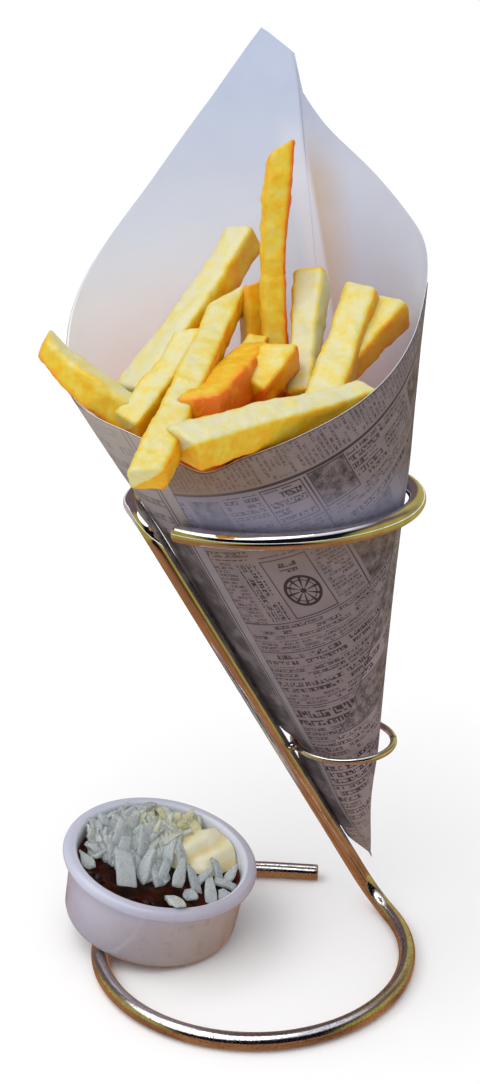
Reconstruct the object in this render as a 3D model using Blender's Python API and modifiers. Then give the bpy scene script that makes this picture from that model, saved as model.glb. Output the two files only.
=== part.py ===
"""French fries in a paper cone, held by a chromed wire stand with a ramekin of dip on its foot.

Run with: blender --background --python part.py
Sizes are in millimetres, measured from the middle of the stand's foot loop on the table: +X is to
the right, +Y is away from the open front of the cone, +Z is up. mm() turns them into metres.
"""

import math

import bmesh
import bpy
from mathutils import Matrix, Vector

OBJECT_NAME = "fries_cone_stand"
GAP = 0.35  # clearance kept between pieces that touch

# The foot loop's middle, from the middle of the whole object's outline on the table.
LOOP_CENTRE = (6.1, -26.6, 0.0)

# Bent rod: foot loop, stem and upper ring in one length.
ROD_RADIUS = 3.0
LOOP_RADIUS = 56.0
LOOP_END_RADIUS = 53.8  # the loop closes in a little towards its free end
LOOP_END_ANGLE = 83.0
LOOP_NARROWS_FROM = 140.0  # angles between which it closes in
LOOP_NARROWS_TO = 105.0
LOOP_FOOT_ANGLE = 22.0
FREE_END = (26.0, 51.1, ROD_RADIUS)
STEM_FOOT = (46.7, 34.1, ROD_RADIUS)
FOOT_BEND_RADIUS = 12.5
RING_CENTRE = (7.0, 27.0, 165.8)
RING_RADIUS = 49.7
RING_RISE_RIGHT = 0.0297  # slopes of the ring's plane along X and Y
RING_RISE_BACK = -0.0173
RING_START_ANGLE = 208.0  # where the stem's line would meet the ring
RING_LEAD_ANGLE = 26.0  # how far round the ring the bend at the stem's top reaches
RING_FREE_ANGLE = -131.0
TOP_BEND_RADIUS = 9.0
FOOT_BEND_STEPS = 6
TOP_BEND_STEPS = 5
LOOP_STEP = 7.0  # degrees between the rod's points
RING_STEP = 8.0
WIRE_RESOLUTION = 2

# Lower ring: a thin wire welded to the stem.
LOWER_WIRE_RADIUS = 1.25
LOWER_RING_CENTRE = (33.2, 28.4, 72.6)
LOWER_RING_RADIUS = 18.4
LOWER_RING_STEP = 10.0

# Paper cone: its level sections are circles along a leaning centre line.
CONE_TIP = (45.1, 30.0, 22.4)
CONE_LEAN_X = -0.2657  # shift of the centre line for each millimetre up
CONE_LEAN_Y = -0.0209
CONE_SPREAD = 0.3207  # radius gained for each millimetre up
CONE_PINCH = 1.2  # how far the rolled paper draws in between its tip and PINCH_TOP
PINCH_TOP = 180.0
CONE_FOOT_BOW = 1.2  # how far it bows towards the stem below the lower ring
REST_GAP = 0.6  # what is left between it and the stem, whose solids have flat facets
REST_TURN = 12.0  # the paper leans out widest this far round from the stem, towards the back
REST_HALF_WIDTH = 60.0
REST_TIP_FADE = 10.0  # height over which it starts to lean out above the tip
REST_RING_FADE = 7.0  # height over which it does above and below the lower ring
REST_TOP = (115.0, 145.0)  # heights between which it goes back to the plain cone
PAPER_THICKNESS = 0.8
PAPER_SEGMENTS = 60
PAPER_LOW_ROWS = (25.4, 34.0, 46.0, 60.0, 72.6, 86.0, 108.0, 150.0)
PAPER_RIM_ROWS = (0.5, 1.0)  # share of the way from the last of those heights to the rim
# The rim's height round the cone: angle in degrees from +X, height above the table.
PAPER_RIM = [
    (67, 320), (61, 311), (57, 296), (41, 275), (22, 261), (4, 251),
    (-9, 241), (-22, 229), (-45, 215), (-75, 202.5), (-92, 196.5), (-110, 190),
    (-127, 199.5), (-148, 203), (-172, 206), (-194, 214), (-222, 234), (-252, 261), (-275, 291),
]

# Fries: a filling inside the paper, and the whole fries that stand out of it.
FILL_BOTTOM = 46.0  # one of the heights of PAPER_LOW_ROWS
FILL_SEGMENTS = 40
FILL_TOP_ROWS = (0.85, 0.6, 0.3)  # share of the way from the crown to the edge
FILL_EDGE_DROP = 4.0  # how far below the rim the filling meets the front of the paper
FILL_EDGE_MOST = 204.0
FILL_CROWN = 6.0
FILL_WAVE = 1.5
FILL_WAVES = 5
# Lower end, upper end, width and bow of each fry.
FRIES = [
    ((9, 20, 200), (11.7, 50, 285), 11.0, -3.6),
    ((-40, 15, 203), (-3, 60, 252), 13.0, 1.0),
    ((-35, -4, 203), (-69.5, 18, 225), 11.5, -3.0),
    ((-33.5, -8, 203), (-21.5, 22, 224), 11.0, 1.0),
    ((-31, -49, 194.5), (-5, 34, 238), 13.5, 0.5),
    ((0.5, 27, 206), (-1, 42, 238), 8.0, 0.0),
    ((14, 6, 206), (19.5, 44, 243), 11.5, 0.0),
    ((20, -10, 203), (37, 38, 238), 13.5, 0.0),
    ((28, 2, 203), (47.5, 36, 234), 11.5, 0.0),
    ((-13.5, -17, 210.5), (4, 18, 218), 13.0, 0.0),
    ((-5, -10, 209), (13, 8, 217), 13.0, 0.0),
    ((-22, -36.5, 200.5), (36.5, -3, 211.5), 13.5, 0.5),
    ((-14, 12, 207), (-30, 34, 214), 10.0, 0.0),
]
FRY_ROUNDING = 0.22  # edge radius over width
FRY_TAPER = 0.82
FRY_FLATNESS = 0.92  # height over width
FRY_CUTS = 3

# Ramekin, in its own frame: the middle of its underside, axis up.
RAMEKIN_PLACE = (-38.6, 17.4, 5.8)
RAMEKIN_TILT_AXIS = (0.467, 0.884, 0.0)
RAMEKIN_TILT = 11.4
RAMEKIN_HEIGHT = 28.0
RAMEKIN_RIM_RADIUS = 36.0
RAMEKIN_WALL_RADIUS = 32.8
RAMEKIN_FOOT_RADIUS = 32.2
RAMEKIN_CAVITY_RADIUS = 30.4
RAMEKIN_FLOOR = 4.2
RAMEKIN_CORNER = 3.6
RAMEKIN_COVE = 4.0  # radius where the inner wall meets the floor
FOOT_RING_INSET = 6.5
FOOT_RING_SLOPE = 1.0
FOOT_RING_HEIGHT = 0.9
LIP_RADIUS = 2.3
LIP_FLAT = 0.6  # flat width on top of the lip
TURN_STEPS = 40

# Dip: dark sauce, mayonnaise beside it and chopped onion on top.
SAUCE_LEVEL = 20.5
MAYO_CENTRE = (14.6, 11.8)
MAYO_RADIUS = 11.0
MAYO_TOP = 26.5
MAYO_DOME = 8.0
MAYO_DOME_STEPS = 4
MAYO_FOOT = 3.0
ONION_CENTRE = (-6.0, 6.0)
ONION_REACH = 25.0
ONION_TOP = 8.5  # height of the heap over the sauce
ONION_SEGMENTS = 40
ONION_DIP_ANGLE = 15.7  # where the heap stops short of the mayonnaise
ONION_DIP_WIDTH = 30.0
ONION_DIP_DEPTH = 0.6
ONION_WALL_GAP = 0.75
ONION_LOBES = ((3, 0.8, 0.10), (7, 2.1, 0.05))  # waves round it, phase and share of the reach
ONION_LUMPS = ((4, 2.6, 0.55), (11, 9.4, 0.4))  # waves round it, turn along the radius and height
# Share of the reach and share of the height of each row, from the foot to the top.
ONION_ROWS = ((1.0, 0.0), (0.98, 0.3), (0.78, 0.62), (0.5, 0.88), (0.22, 1.0))


def mm(*values):
    """Millimetres to a vector in metres."""
    return Vector(values) / 1000.0


def material(name, colour, roughness, metallic=0.0):
    made = bpy.data.materials.new(name)
    made.use_nodes = True
    shader = made.node_tree.nodes["Principled BSDF"]
    shader.inputs["Base Color"].default_value = (*colour, 1.0)
    shader.inputs["Roughness"].default_value = roughness
    shader.inputs["Metallic"].default_value = metallic
    return made


def clear_scene():
    for old in list(bpy.data.objects):
        bpy.data.objects.remove(old, do_unlink=True)


def collection(name, hidden=False):
    made = bpy.data.collections.new(name)
    bpy.context.scene.collection.children.link(made)
    made.hide_render = hidden
    return made


def add(name, data, group, parent, finish=None):
    """A new object with this data, or an empty, in a collection and under a parent."""
    obj = bpy.data.objects.new(name, data)
    group.objects.link(obj)
    obj.parent = parent
    if finish:
        data.materials.append(finish)
    return obj


def as_helper(obj):
    obj.hide_render = True
    obj.display_type = "WIRE"
    return obj


def smooth(mesh, angle=40.0):
    mesh.shade_smooth()
    mesh.set_sharp_from_angle(angle=math.radians(angle))


def boolean(obj, operation, other):
    cut = obj.modifiers.new(operation.title() + " " + other.name, "BOOLEAN")
    cut.operation = operation
    cut.solver = "EXACT"
    if isinstance(other, bpy.types.Collection):
        cut.operand_type = "COLLECTION"
        cut.collection = other
    else:
        cut.object = other


def circle_point(centre, radius, degrees):
    """A point on a level circle, and how far along X and Y it lies from the centre."""
    angle = math.radians(degrees)
    x = radius * math.cos(angle)
    y = radius * math.sin(angle)
    return Vector((centre[0] + x, centre[1] + y, centre[2])), x, y


def arc(point_at, start, end, step):
    """Points of an arc from start to end in degrees, both included."""
    count = max(2, round(abs(end - start) / step))
    return [point_at(start + (end - start) * i / count) for i in range(count + 1)]


def rounded_corner(before, corner, after, radius, steps):
    """An arc of this radius that joins the two straight runs at a corner."""
    back = (before - corner).normalized()
    on = (after - corner).normalized()
    half = back.angle(on) / 2
    middle = corner + (back + on).normalized() * radius / math.sin(half)
    first = corner + back * radius / math.tan(half) - middle
    last = corner + on * radius / math.tan(half) - middle
    return [middle + first.slerp(last, i / steps) * radius for i in range(steps + 1)]


def wire(name, points, radius, group, parent, finish, closed=False):
    """A round wire along these points."""
    data = bpy.data.curves.new(name, "CURVE")
    data.dimensions = "3D"
    data.bevel_depth = radius / 1000.0
    data.bevel_resolution = WIRE_RESOLUTION
    data.use_fill_caps = not closed
    spline = data.splines.new("POLY")
    spline.points.add(len(points) - 1)
    for slot, point in zip(spline.points, points):
        slot.co = (*mm(*point), 1.0)
    spline.use_cyclic_u = closed
    return add(name, data, group, parent, finish)


def join_rows(mesh, rows):
    """Faces between rings of points, from the lowest ring to the highest."""
    for low, high in zip(rows, rows[1:]):
        for i, corner in enumerate(low):
            j = (i + 1) % len(low)
            mesh.faces.new((corner, low[j], high[j], high[i]))


def close_top(mesh, ring, point):
    top = mesh.verts.new(point)
    for i, corner in enumerate(ring):
        mesh.faces.new((corner, ring[(i + 1) % len(ring)], top))


# ---------------------------------------------------------------- stand


def loop_point(degrees):
    """A point on the foot loop, which closes in a little towards its free end."""
    share = (LOOP_NARROWS_FROM - degrees) / (LOOP_NARROWS_FROM - LOOP_NARROWS_TO)
    share = min(1.0, max(0.0, share))
    share = share * share * (3 - 2 * share)
    radius = LOOP_RADIUS + (LOOP_END_RADIUS - LOOP_RADIUS) * share
    return circle_point((0, 0, ROD_RADIUS), radius, degrees)[0]


def ring_point(degrees):
    point, x, y = circle_point(RING_CENTRE, RING_RADIUS, degrees)
    point.z += RING_RISE_RIGHT * x + RING_RISE_BACK * y
    return point


def lower_ring_point(degrees):
    return circle_point(LOWER_RING_CENTRE, LOWER_RING_RADIUS, degrees)[0]


def stand_route():
    """The rod's middle line, from its free end on the table to its free end on the upper ring."""
    loop_end = 360 + LOOP_FOOT_ANGLE
    ring_lead = RING_START_ANGLE - RING_LEAD_ANGLE
    foot = Vector(STEM_FOOT)
    top = ring_point(RING_START_ANGLE)
    route = [Vector(FREE_END)]
    route += arc(loop_point, LOOP_END_ANGLE, loop_end, LOOP_STEP)
    route += rounded_corner(loop_point(loop_end), foot, top, FOOT_BEND_RADIUS, FOOT_BEND_STEPS)[1:]
    route += rounded_corner(foot, top, ring_point(ring_lead), TOP_BEND_RADIUS, TOP_BEND_STEPS)
    route += arc(ring_point, ring_lead, RING_FREE_ANGLE, RING_STEP)
    return route


def make_stand(group, parent):
    chrome = material("chromed_rod", (0.62, 0.60, 0.58), 0.12, 1.0)
    wire("stand_rod", stand_route(), ROD_RADIUS, group, parent, chrome)
    ring = arc(lower_ring_point, 0, 360, LOWER_RING_STEP)
    wire("lower_ring", ring[:-1], LOWER_WIRE_RADIUS, group, parent, chrome, closed=True)


# ---------------------------------------------------------------- paper cone


def stem_point(height):
    """The middle of the stem's straight run at a height."""
    foot, top = Vector(STEM_FOOT), ring_point(RING_START_ANGLE)
    return foot.lerp(top, (height - foot.z) / (top.z - foot.z))


def fade(value, low, high):
    """From 0 at low to 1 at high, with eased ends."""
    share = min(1.0, max(0.0, (value - low) / (high - low)))
    return share * share * (3 - 2 * share)


def lean_out(centre, degrees, radius):
    """How far the loose outer paper leaves the plain cone to rest on the stem."""
    height = centre.z
    stem = stem_point(height) - centre
    slope = (ring_point(RING_START_ANGLE) - Vector(STEM_FOOT)).normalized()
    rod_reach = ROD_RADIUS / slope.z
    room = stem.length - rod_reach - REST_GAP - radius
    turn = (degrees - math.degrees(math.atan2(stem.y, stem.x)) + REST_TURN + 180) % 360 - 180
    if room <= 0 or abs(turn) >= REST_HALF_WIDTH:
        return 0.0
    off_ring = 1 - math.exp(-(((height - LOWER_RING_CENTRE[2]) / REST_RING_FADE) ** 2))
    off_tip = fade(height, CONE_TIP[2], CONE_TIP[2] + REST_TIP_FADE)
    share = off_ring * off_tip * (1 - fade(height, *REST_TOP))
    return room * share * math.cos(math.radians(90 * turn / REST_HALF_WIDTH)) ** 2


def cone_point(degrees, height, inset=0.0):
    """A point on the paper's outer surface, or this far inside it, at an angle and a height."""
    up = height - CONE_TIP[2]
    centre = Vector((CONE_TIP[0] + CONE_LEAN_X * up, CONE_TIP[1] + CONE_LEAN_Y * up, height))
    foot_share = min(up / (LOWER_RING_CENTRE[2] - CONE_TIP[2]), 1.0)
    centre.x -= CONE_FOOT_BOW * math.sin(math.pi * foot_share) ** 2
    pinch_share = min(up / (PINCH_TOP - CONE_TIP[2]), 1.0)
    radius = CONE_SPREAD * up - CONE_PINCH * max(0.0, math.sin(math.pi * pinch_share))
    radius += lean_out(centre, degrees, radius)
    return circle_point(centre, max(0.0, radius - inset), degrees)[0]


def rim_height(degrees):
    """The rim's height at an angle, on a smooth line through PAPER_RIM."""
    peak = PAPER_RIM[0][0]
    degrees = peak - (peak - degrees) % 360
    count = len(PAPER_RIM)
    at = max(i for i in range(count) if PAPER_RIM[i][0] >= degrees)

    def knot(i):
        angle, height = PAPER_RIM[i % count]
        return angle - 360 * (i // count), height

    def slope(i):
        if i % count == 0:
            return 0.0
        (a0, h0), (a1, h1) = knot(i - 1), knot(i + 1)
        return (h1 - h0) / (a1 - a0)

    (a0, h0), (a1, h1) = knot(at), knot(at + 1)
    run = a1 - a0
    t = (degrees - a0) / run
    first, last = slope(at) * run, slope(at + 1) * run
    if at == 0:
        first = h1 - h0
    if (at + 1) % count == 0:
        last = h1 - h0
    return (
        h0 * (2 * t**3 - 3 * t**2 + 1)
        + first * (t**3 - 2 * t**2 + t)
        + h1 * (3 * t**2 - 2 * t**3)
        + last * (t**3 - t**2)
    )


def make_paper(group, parent):
    """An open cone from its rolled tip to its rim, thickened inwards."""
    sheet = bmesh.new()
    angles = [360 * i / PAPER_SEGMENTS + PAPER_RIM[0][0] for i in range(PAPER_SEGMENTS)]
    tip = sheet.verts.new(mm(*CONE_TIP))
    rows = []
    for height in PAPER_LOW_ROWS:
        rows.append([sheet.verts.new(mm(*cone_point(angle, height))) for angle in angles])
    for share in PAPER_RIM_ROWS:
        row = []
        for angle in angles:
            height = PAPER_LOW_ROWS[-1] + (rim_height(angle) - PAPER_LOW_ROWS[-1]) * share
            row.append(sheet.verts.new(mm(*cone_point(angle, height))))
        rows.append(row)
    for i in range(PAPER_SEGMENTS):
        sheet.faces.new((tip, rows[0][(i + 1) % PAPER_SEGMENTS], rows[0][i]))
    join_rows(sheet, rows)
    mesh = bpy.data.meshes.new("paper_cone")
    sheet.to_mesh(mesh)
    sheet.free()
    smooth(mesh)
    newsprint = material("printed_paper", (0.24, 0.20, 0.19), 0.6)
    cone = add("paper_cone", mesh, group, parent, newsprint)
    wall = cone.modifiers.new("Wall", "SOLIDIFY")
    wall.thickness = PAPER_THICKNESS / 1000.0
    wall.offset = -1.0


# ---------------------------------------------------------------- fries


def fill_top(degrees):
    """Height at which the filling meets the paper."""
    return min(rim_height(degrees) - FILL_EDGE_DROP, FILL_EDGE_MOST)


def make_filling(group, parent, finish):
    """The packed lower fries, as a plug of the cone's inner shape with a crowned top."""
    plug = bmesh.new()
    inset = PAPER_THICKNESS + 2 * GAP
    angles = [360 * i / FILL_SEGMENTS for i in range(FILL_SEGMENTS)]
    edge = [cone_point(angle, fill_top(angle), inset) for angle in angles]
    rows = []
    for height in PAPER_LOW_ROWS:
        if height >= FILL_BOTTOM:
            rows.append([plug.verts.new(mm(*cone_point(angle, height, inset))) for angle in angles])
    rows.append([plug.verts.new(mm(*point)) for point in edge])
    crown = sum(edge, Vector()) / len(edge) + Vector((0, 0, FILL_CROWN))
    for share in FILL_TOP_ROWS:
        row = []
        for angle, point in zip(angles, edge):
            lift = FILL_WAVE * math.sin(math.radians(FILL_WAVES * angle)) * share
            spot = crown.lerp(point, share)
            spot.z = crown.z + (point.z - crown.z) * share**4 + lift
            row.append(plug.verts.new(mm(*spot)))
        rows.append(row)
    join_rows(plug, rows)
    close_top(plug, rows[-1], mm(*crown))
    plug.faces.new(list(reversed(rows[0])))
    mesh = bpy.data.meshes.new("fries")
    plug.to_mesh(mesh)
    plug.free()
    return add("fries", mesh, group, parent, finish)


def make_fry(index, low, high, width, bow, group, parent):
    """One cut fry: a long bevelled block, bowed sideways and a little thinner at its upper end."""
    low, high = Vector(low), Vector(high)
    along = (high - low).normalized()
    side = along.cross(Vector((0, 0, 1))).normalized()
    face = side.cross(along)
    block = bmesh.new()
    bmesh.ops.create_cube(block, size=1.0)
    long_edges = [e for e in block.edges if abs(e.verts[0].co.z - e.verts[1].co.z) > 0.5]
    bmesh.ops.subdivide_edges(block, edges=long_edges, cuts=FRY_CUTS)
    for vert in block.verts:
        share = vert.co.z + 0.5
        across = width * (1 - (1 - FRY_TAPER) * share)
        middle = low.lerp(high, share) + side * bow * (1 - (2 * share - 1) ** 2)
        spot = middle + side * vert.co.x * across + face * vert.co.y * across * FRY_FLATNESS
        vert.co = mm(*spot)
    bmesh.ops.recalc_face_normals(block, faces=block.faces)
    mesh = bpy.data.meshes.new(f"fry_{index:02d}")
    block.to_mesh(mesh)
    block.free()
    fry = as_helper(add(f"fry_{index:02d}", mesh, group, parent))
    rounding = fry.modifiers.new("Rounded edges", "BEVEL")
    rounding.width = width * FRY_ROUNDING / 1000.0
    rounding.segments = 1
    rounding.limit_method = "ANGLE"
    rounding.angle_limit = math.radians(50)


def make_fries(group, helpers, parent):
    golden = material("fried_potato", (0.86, 0.58, 0.16), 0.5)
    heap = make_filling(group, parent, golden)
    for index, (low, high, width, bow) in enumerate(FRIES):
        make_fry(index, low, high, width, bow, helpers, parent)
    boolean(heap, "UNION", helpers)


# ---------------------------------------------------------------- ramekin and dip


def turned(name, profile, group, parent, finish=None):
    """A solid of revolution from (radius, height) points that run top to bottom outside."""
    outline = bmesh.new()
    verts = [outline.verts.new(mm(radius, 0, height)) for radius, height in profile]
    for first, second in zip(verts, verts[1:]):
        outline.edges.new((first, second))
    mesh = bpy.data.meshes.new(name)
    outline.to_mesh(mesh)
    outline.free()
    obj = add(name, mesh, group, parent, finish)
    turn = obj.modifiers.new("Turn", "SCREW")
    turn.steps = TURN_STEPS
    turn.render_steps = TURN_STEPS
    turn.use_merge_vertices = True
    turn.merge_threshold = 0.00001
    turn.use_smooth_shade = True
    return obj


def bend(centre, radius, start, end, steps):
    """Profile points on an arc."""
    points = []
    for i in range(steps + 1):
        angle = math.radians(start + (end - start) * i / steps)
        points.append((centre[0] + radius * math.cos(angle), centre[1] + radius * math.sin(angle)))
    return points


def ramekin_profile():
    lip_x = RAMEKIN_RIM_RADIUS - LIP_RADIUS
    lip_z = RAMEKIN_HEIGHT - LIP_RADIUS
    corner = (RAMEKIN_FOOT_RADIUS - RAMEKIN_CORNER, RAMEKIN_CORNER)
    cove = (RAMEKIN_CAVITY_RADIUS - RAMEKIN_COVE, RAMEKIN_FLOOR + RAMEKIN_COVE)
    profile = [(RAMEKIN_CAVITY_RADIUS + 0.3, lip_z)]
    profile += bend((lip_x - LIP_FLAT, lip_z), LIP_RADIUS, 150, 90, 2)
    profile += bend((lip_x, lip_z), LIP_RADIUS, 90, -60, 5)[1:]
    profile += [(RAMEKIN_WALL_RADIUS, lip_z - LIP_RADIUS - 0.9)]
    profile += bend(corner, RAMEKIN_CORNER, 0, -78, 3)
    ring_edge = RAMEKIN_FOOT_RADIUS - FOOT_RING_INSET
    profile += [(ring_edge, 0.0), (ring_edge - FOOT_RING_SLOPE, FOOT_RING_HEIGHT)]
    profile += [(0.0, FOOT_RING_HEIGHT)]
    return [(0.0, RAMEKIN_FLOOR)] + bend(cove, RAMEKIN_COVE, -90, 0, 3) + profile


def make_ramekin(group, parent):
    glaze = material("white_glaze", (0.86, 0.85, 0.88), 0.18)
    turned("ramekin", ramekin_profile(), group, parent, glaze)


def make_sauce(group, parent, hole):
    radius = RAMEKIN_CAVITY_RADIUS - GAP
    floor = RAMEKIN_FLOOR + GAP
    cove = (radius - RAMEKIN_COVE, floor + RAMEKIN_COVE)
    profile = [(0.0, SAUCE_LEVEL), (radius, SAUCE_LEVEL)]
    profile += bend(cove, RAMEKIN_COVE, 0, -90, 2) + [(0.0, floor)]
    brown = material("brown_sauce", (0.045, 0.006, 0.004), 0.12)
    sauce = turned("brown_sauce", profile, group, parent, brown)
    boolean(sauce, "DIFFERENCE", hole)


def mayo_profile(extra):
    """A dollop from just over the floor to a rounded top, this much bigger all round."""
    radius = MAYO_RADIUS + extra
    shoulder = MAYO_TOP + extra - MAYO_DOME
    low = RAMEKIN_FLOOR + GAP - extra
    dome = [(0.0, MAYO_TOP + extra)]
    for i in range(1, MAYO_DOME_STEPS + 1):
        angle = math.pi / 2 * (1 - i / MAYO_DOME_STEPS)
        dome.append((radius * math.cos(angle), shoulder + MAYO_DOME * math.sin(angle)))
    return dome + [(radius, low + MAYO_FOOT), (radius - MAYO_FOOT, low), (0.0, low)]


def make_mayonnaise(group, helpers, parent):
    pale = material("mayonnaise", (0.90, 0.82, 0.52), 0.3)
    dollop = turned("mayonnaise", mayo_profile(0.0), group, parent, pale)
    hole = as_helper(turned("mayonnaise_hole", mayo_profile(GAP), helpers, parent))
    for obj in (dollop, hole):
        obj.location = mm(*MAYO_CENTRE, 0.0)
    return hole


def onion_reach(degrees):
    """How far the onion heap spreads from its middle: uneven, short of the wall and the mayonnaise."""
    angle = math.radians(degrees)
    uneven = 1 + sum(size * math.sin(waves * angle + phase) for waves, phase, size in ONION_LOBES)
    off = (degrees - ONION_DIP_ANGLE + 180) % 360 - 180
    dip = 1 - ONION_DIP_DEPTH * math.exp(-((off / ONION_DIP_WIDTH) ** 2))
    reach = ONION_REACH * uneven
    direction = Vector((math.cos(angle), math.sin(angle)))
    centre = Vector(ONION_CENTRE)
    limit = RAMEKIN_CAVITY_RADIUS - ONION_WALL_GAP
    along = centre.dot(direction)
    to_wall = -along + math.sqrt(along**2 + limit**2 - centre.length_squared)
    return min(reach, to_wall) * dip


def make_onion(group, parent, hole):
    """A loose heap of chopped onion lying on the sauce."""
    heap = bmesh.new()
    floor = SAUCE_LEVEL + GAP
    angles = [360 * i / ONION_SEGMENTS for i in range(ONION_SEGMENTS)]
    rows = []
    for share, height in ONION_ROWS:
        row = []
        for angle in angles:
            reach = onion_reach(angle) * share
            around = math.radians(angle)
            lump = sum(size * math.sin(waves * around + turn * share) for waves, turn, size in ONION_LUMPS)
            spot = Vector((*ONION_CENTRE, floor + ONION_TOP * height))
            spot += Vector((reach * math.cos(around), reach * math.sin(around), lump if height else 0.0))
            row.append(heap.verts.new(mm(*spot)))
        rows.append(row)
    join_rows(heap, rows)
    close_top(heap, rows[-1], mm(*ONION_CENTRE, floor + ONION_TOP))
    heap.faces.new(list(reversed(rows[0])))
    mesh = bpy.data.meshes.new("chopped_onion")
    heap.to_mesh(mesh)
    heap.free()
    white = material("chopped_onion", (0.80, 0.82, 0.76), 0.3)
    onion = add("chopped_onion", mesh, group, parent, white)
    boolean(onion, "DIFFERENCE", hole)


def make_dip(group, helpers, stand):
    """The ramekin leans on the foot loop, with the dip in it."""
    seat = add("ramekin_seat", None, group, stand)
    seat.location = mm(*RAMEKIN_PLACE)
    turn = Matrix.Rotation(math.radians(RAMEKIN_TILT), 4, Vector(RAMEKIN_TILT_AXIS))
    seat.rotation_euler = turn.to_euler()
    make_ramekin(group, seat)
    hole = make_mayonnaise(group, helpers, seat)
    make_sauce(group, seat, hole)
    make_onion(group, seat, hole)


def main():
    clear_scene()
    parts = collection(OBJECT_NAME)
    fry_shapes = collection("fry_shapes", hidden=True)
    cutters = collection("cutters", hidden=True)
    foot = add("foot_loop_centre", None, parts, None)
    foot.location = mm(*LOOP_CENTRE)
    make_stand(parts, foot)
    make_paper(parts, foot)
    make_fries(parts, fry_shapes, foot)
    make_dip(parts, cutters, foot)


main()
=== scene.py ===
"""Looks of the fries in a paper cone, on a bent rod stand with a ramekin of dip on its foot.

Sizes are in millimetres from the middle of the stand's foot loop on the table: +X is to the right,
+Y goes towards the tall back of the paper, +Z up. place() turns them into the frame's metres.
"""

import math
import random

import bmesh
import bpy
import numpy as np
from mathutils import Matrix, Vector, noise


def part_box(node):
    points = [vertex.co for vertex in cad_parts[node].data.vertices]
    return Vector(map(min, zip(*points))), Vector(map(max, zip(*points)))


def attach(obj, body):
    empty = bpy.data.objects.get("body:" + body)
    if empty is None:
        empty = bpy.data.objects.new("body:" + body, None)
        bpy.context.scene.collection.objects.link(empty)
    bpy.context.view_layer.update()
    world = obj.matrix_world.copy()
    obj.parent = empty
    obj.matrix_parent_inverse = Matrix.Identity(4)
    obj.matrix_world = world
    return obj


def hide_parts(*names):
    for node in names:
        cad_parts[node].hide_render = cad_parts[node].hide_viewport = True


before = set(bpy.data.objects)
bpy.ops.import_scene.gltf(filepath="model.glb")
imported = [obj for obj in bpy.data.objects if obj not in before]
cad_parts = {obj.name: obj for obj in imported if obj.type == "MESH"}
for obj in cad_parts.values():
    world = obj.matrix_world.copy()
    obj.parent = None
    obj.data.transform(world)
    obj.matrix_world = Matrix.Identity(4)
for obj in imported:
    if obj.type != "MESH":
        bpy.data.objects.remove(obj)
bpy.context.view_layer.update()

# ---------------------------------------------------------------- driving sizes, as in the frame

ROD_RADIUS = 3.0
LOOP_RADIUS = 56.0
LOOP_END_RADIUS = 53.8
LOOP_END_ANGLE = 83.0
LOOP_NARROWS_FROM = 140.0
LOOP_NARROWS_TO = 105.0
LOOP_FOOT_ANGLE = 22.0
FREE_END = (26.0, 51.1, ROD_RADIUS)
STEM_FOOT = (46.7, 34.1, ROD_RADIUS)
FOOT_BEND_RADIUS = 12.5
RING_CENTRE = (7.0, 27.0, 165.8)
RING_RADIUS = 49.7
RING_RISE_RIGHT = 0.0297
RING_RISE_BACK = -0.0173
RING_START_ANGLE = 208.0
RING_LEAD_ANGLE = 26.0
RING_FREE_ANGLE = -131.0
TOP_BEND_RADIUS = 9.0
LOWER_WIRE_RADIUS = 1.25
LOWER_RING_CENTRE = (33.2, 28.4, 72.6)
LOWER_RING_RADIUS = 18.4

CONE_TIP = (45.1, 30.0, 22.4)
CONE_LEAN_X = -0.2657
CONE_LEAN_Y = -0.0209
CONE_SPREAD = 0.3207
CONE_PINCH = 1.2
PINCH_TOP = 180.0
CONE_FOOT_BOW = 1.2
REST_GAP = 0.25
REST_TURN = 20.0
REST_HALF_WIDTH = 60.0
REST_REACH = 1.25
REST_TIP_FADE = 10.0
REST_RING_FADE = 5.0
REST_TOP = (128.0, 160.0)
PAPER_RIM = [
    (67, 320), (59.6, 311.1), (58.9, 300.5), (56.8, 294.3), (51.5, 285.6), (41, 275.5), (22, 261), (4, 251),
    (-9, 241), (-22, 229), (-45, 215), (-75, 202.5), (-92, 196.5), (-110, 190),
    (-127, 199.5), (-148, 203), (-172, 206), (-194, 214), (-222, 234), (-252, 261), (-275, 291),
]

RAMEKIN_PLACE = (-38.6, 17.4, 5.8)
RAMEKIN_TILT_AXIS = (0.467, 0.884, 0.0)
RAMEKIN_TILT = 11.4
RAMEKIN_HEIGHT = 28.0
RAMEKIN_RIM_RADIUS = 36.0
RAMEKIN_WALL_RADIUS = 32.8
RAMEKIN_FOOT_RADIUS = 32.2
RAMEKIN_CAVITY_RADIUS = 30.4
RAMEKIN_FLOOR = 4.2
SAUCE_LEVEL = 20.5

# The loop's middle, from the rod's own box.
rod_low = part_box("stand_rod")[0] * 1000
LOOP_CENTRE = np.array([rod_low.x + LOOP_RADIUS + ROD_RADIUS, rod_low.y + LOOP_RADIUS + ROD_RADIUS, 0.0])

# ---------------------------------------------------------------- meshes


def place(points):
    """Millimetres from the loop's middle to the frame's metres."""
    return (np.asarray(points, float).reshape(-1, 3) + LOOP_CENTRE) / 1000.0


def piece(name, points, faces, finishes, slot=None, replaces=(), attributes=None, smooth=True):
    """A mesh piece from points in millimetres that rides on the stand."""
    data = bpy.data.meshes.new(name)
    data.from_pydata(place(points).tolist(), [], faces)
    data.update()
    for finish in finishes:
        data.materials.append(finish)
    for key, values in (attributes or {}).items():
        values = np.asarray(values, np.float32)
        kind, field = ("FLOAT", "value") if values.ndim == 1 else ("FLOAT_VECTOR", "vector")
        data.attributes.new(key, kind, "POINT").data.foreach_set(field, values.ravel())
    if smooth:
        data.shade_smooth()
    obj = bpy.data.objects.new(name, data)
    bpy.context.scene.collection.objects.link(obj)
    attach(obj, "root")
    if replaces:
        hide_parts(*replaces)
    return obj


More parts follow.
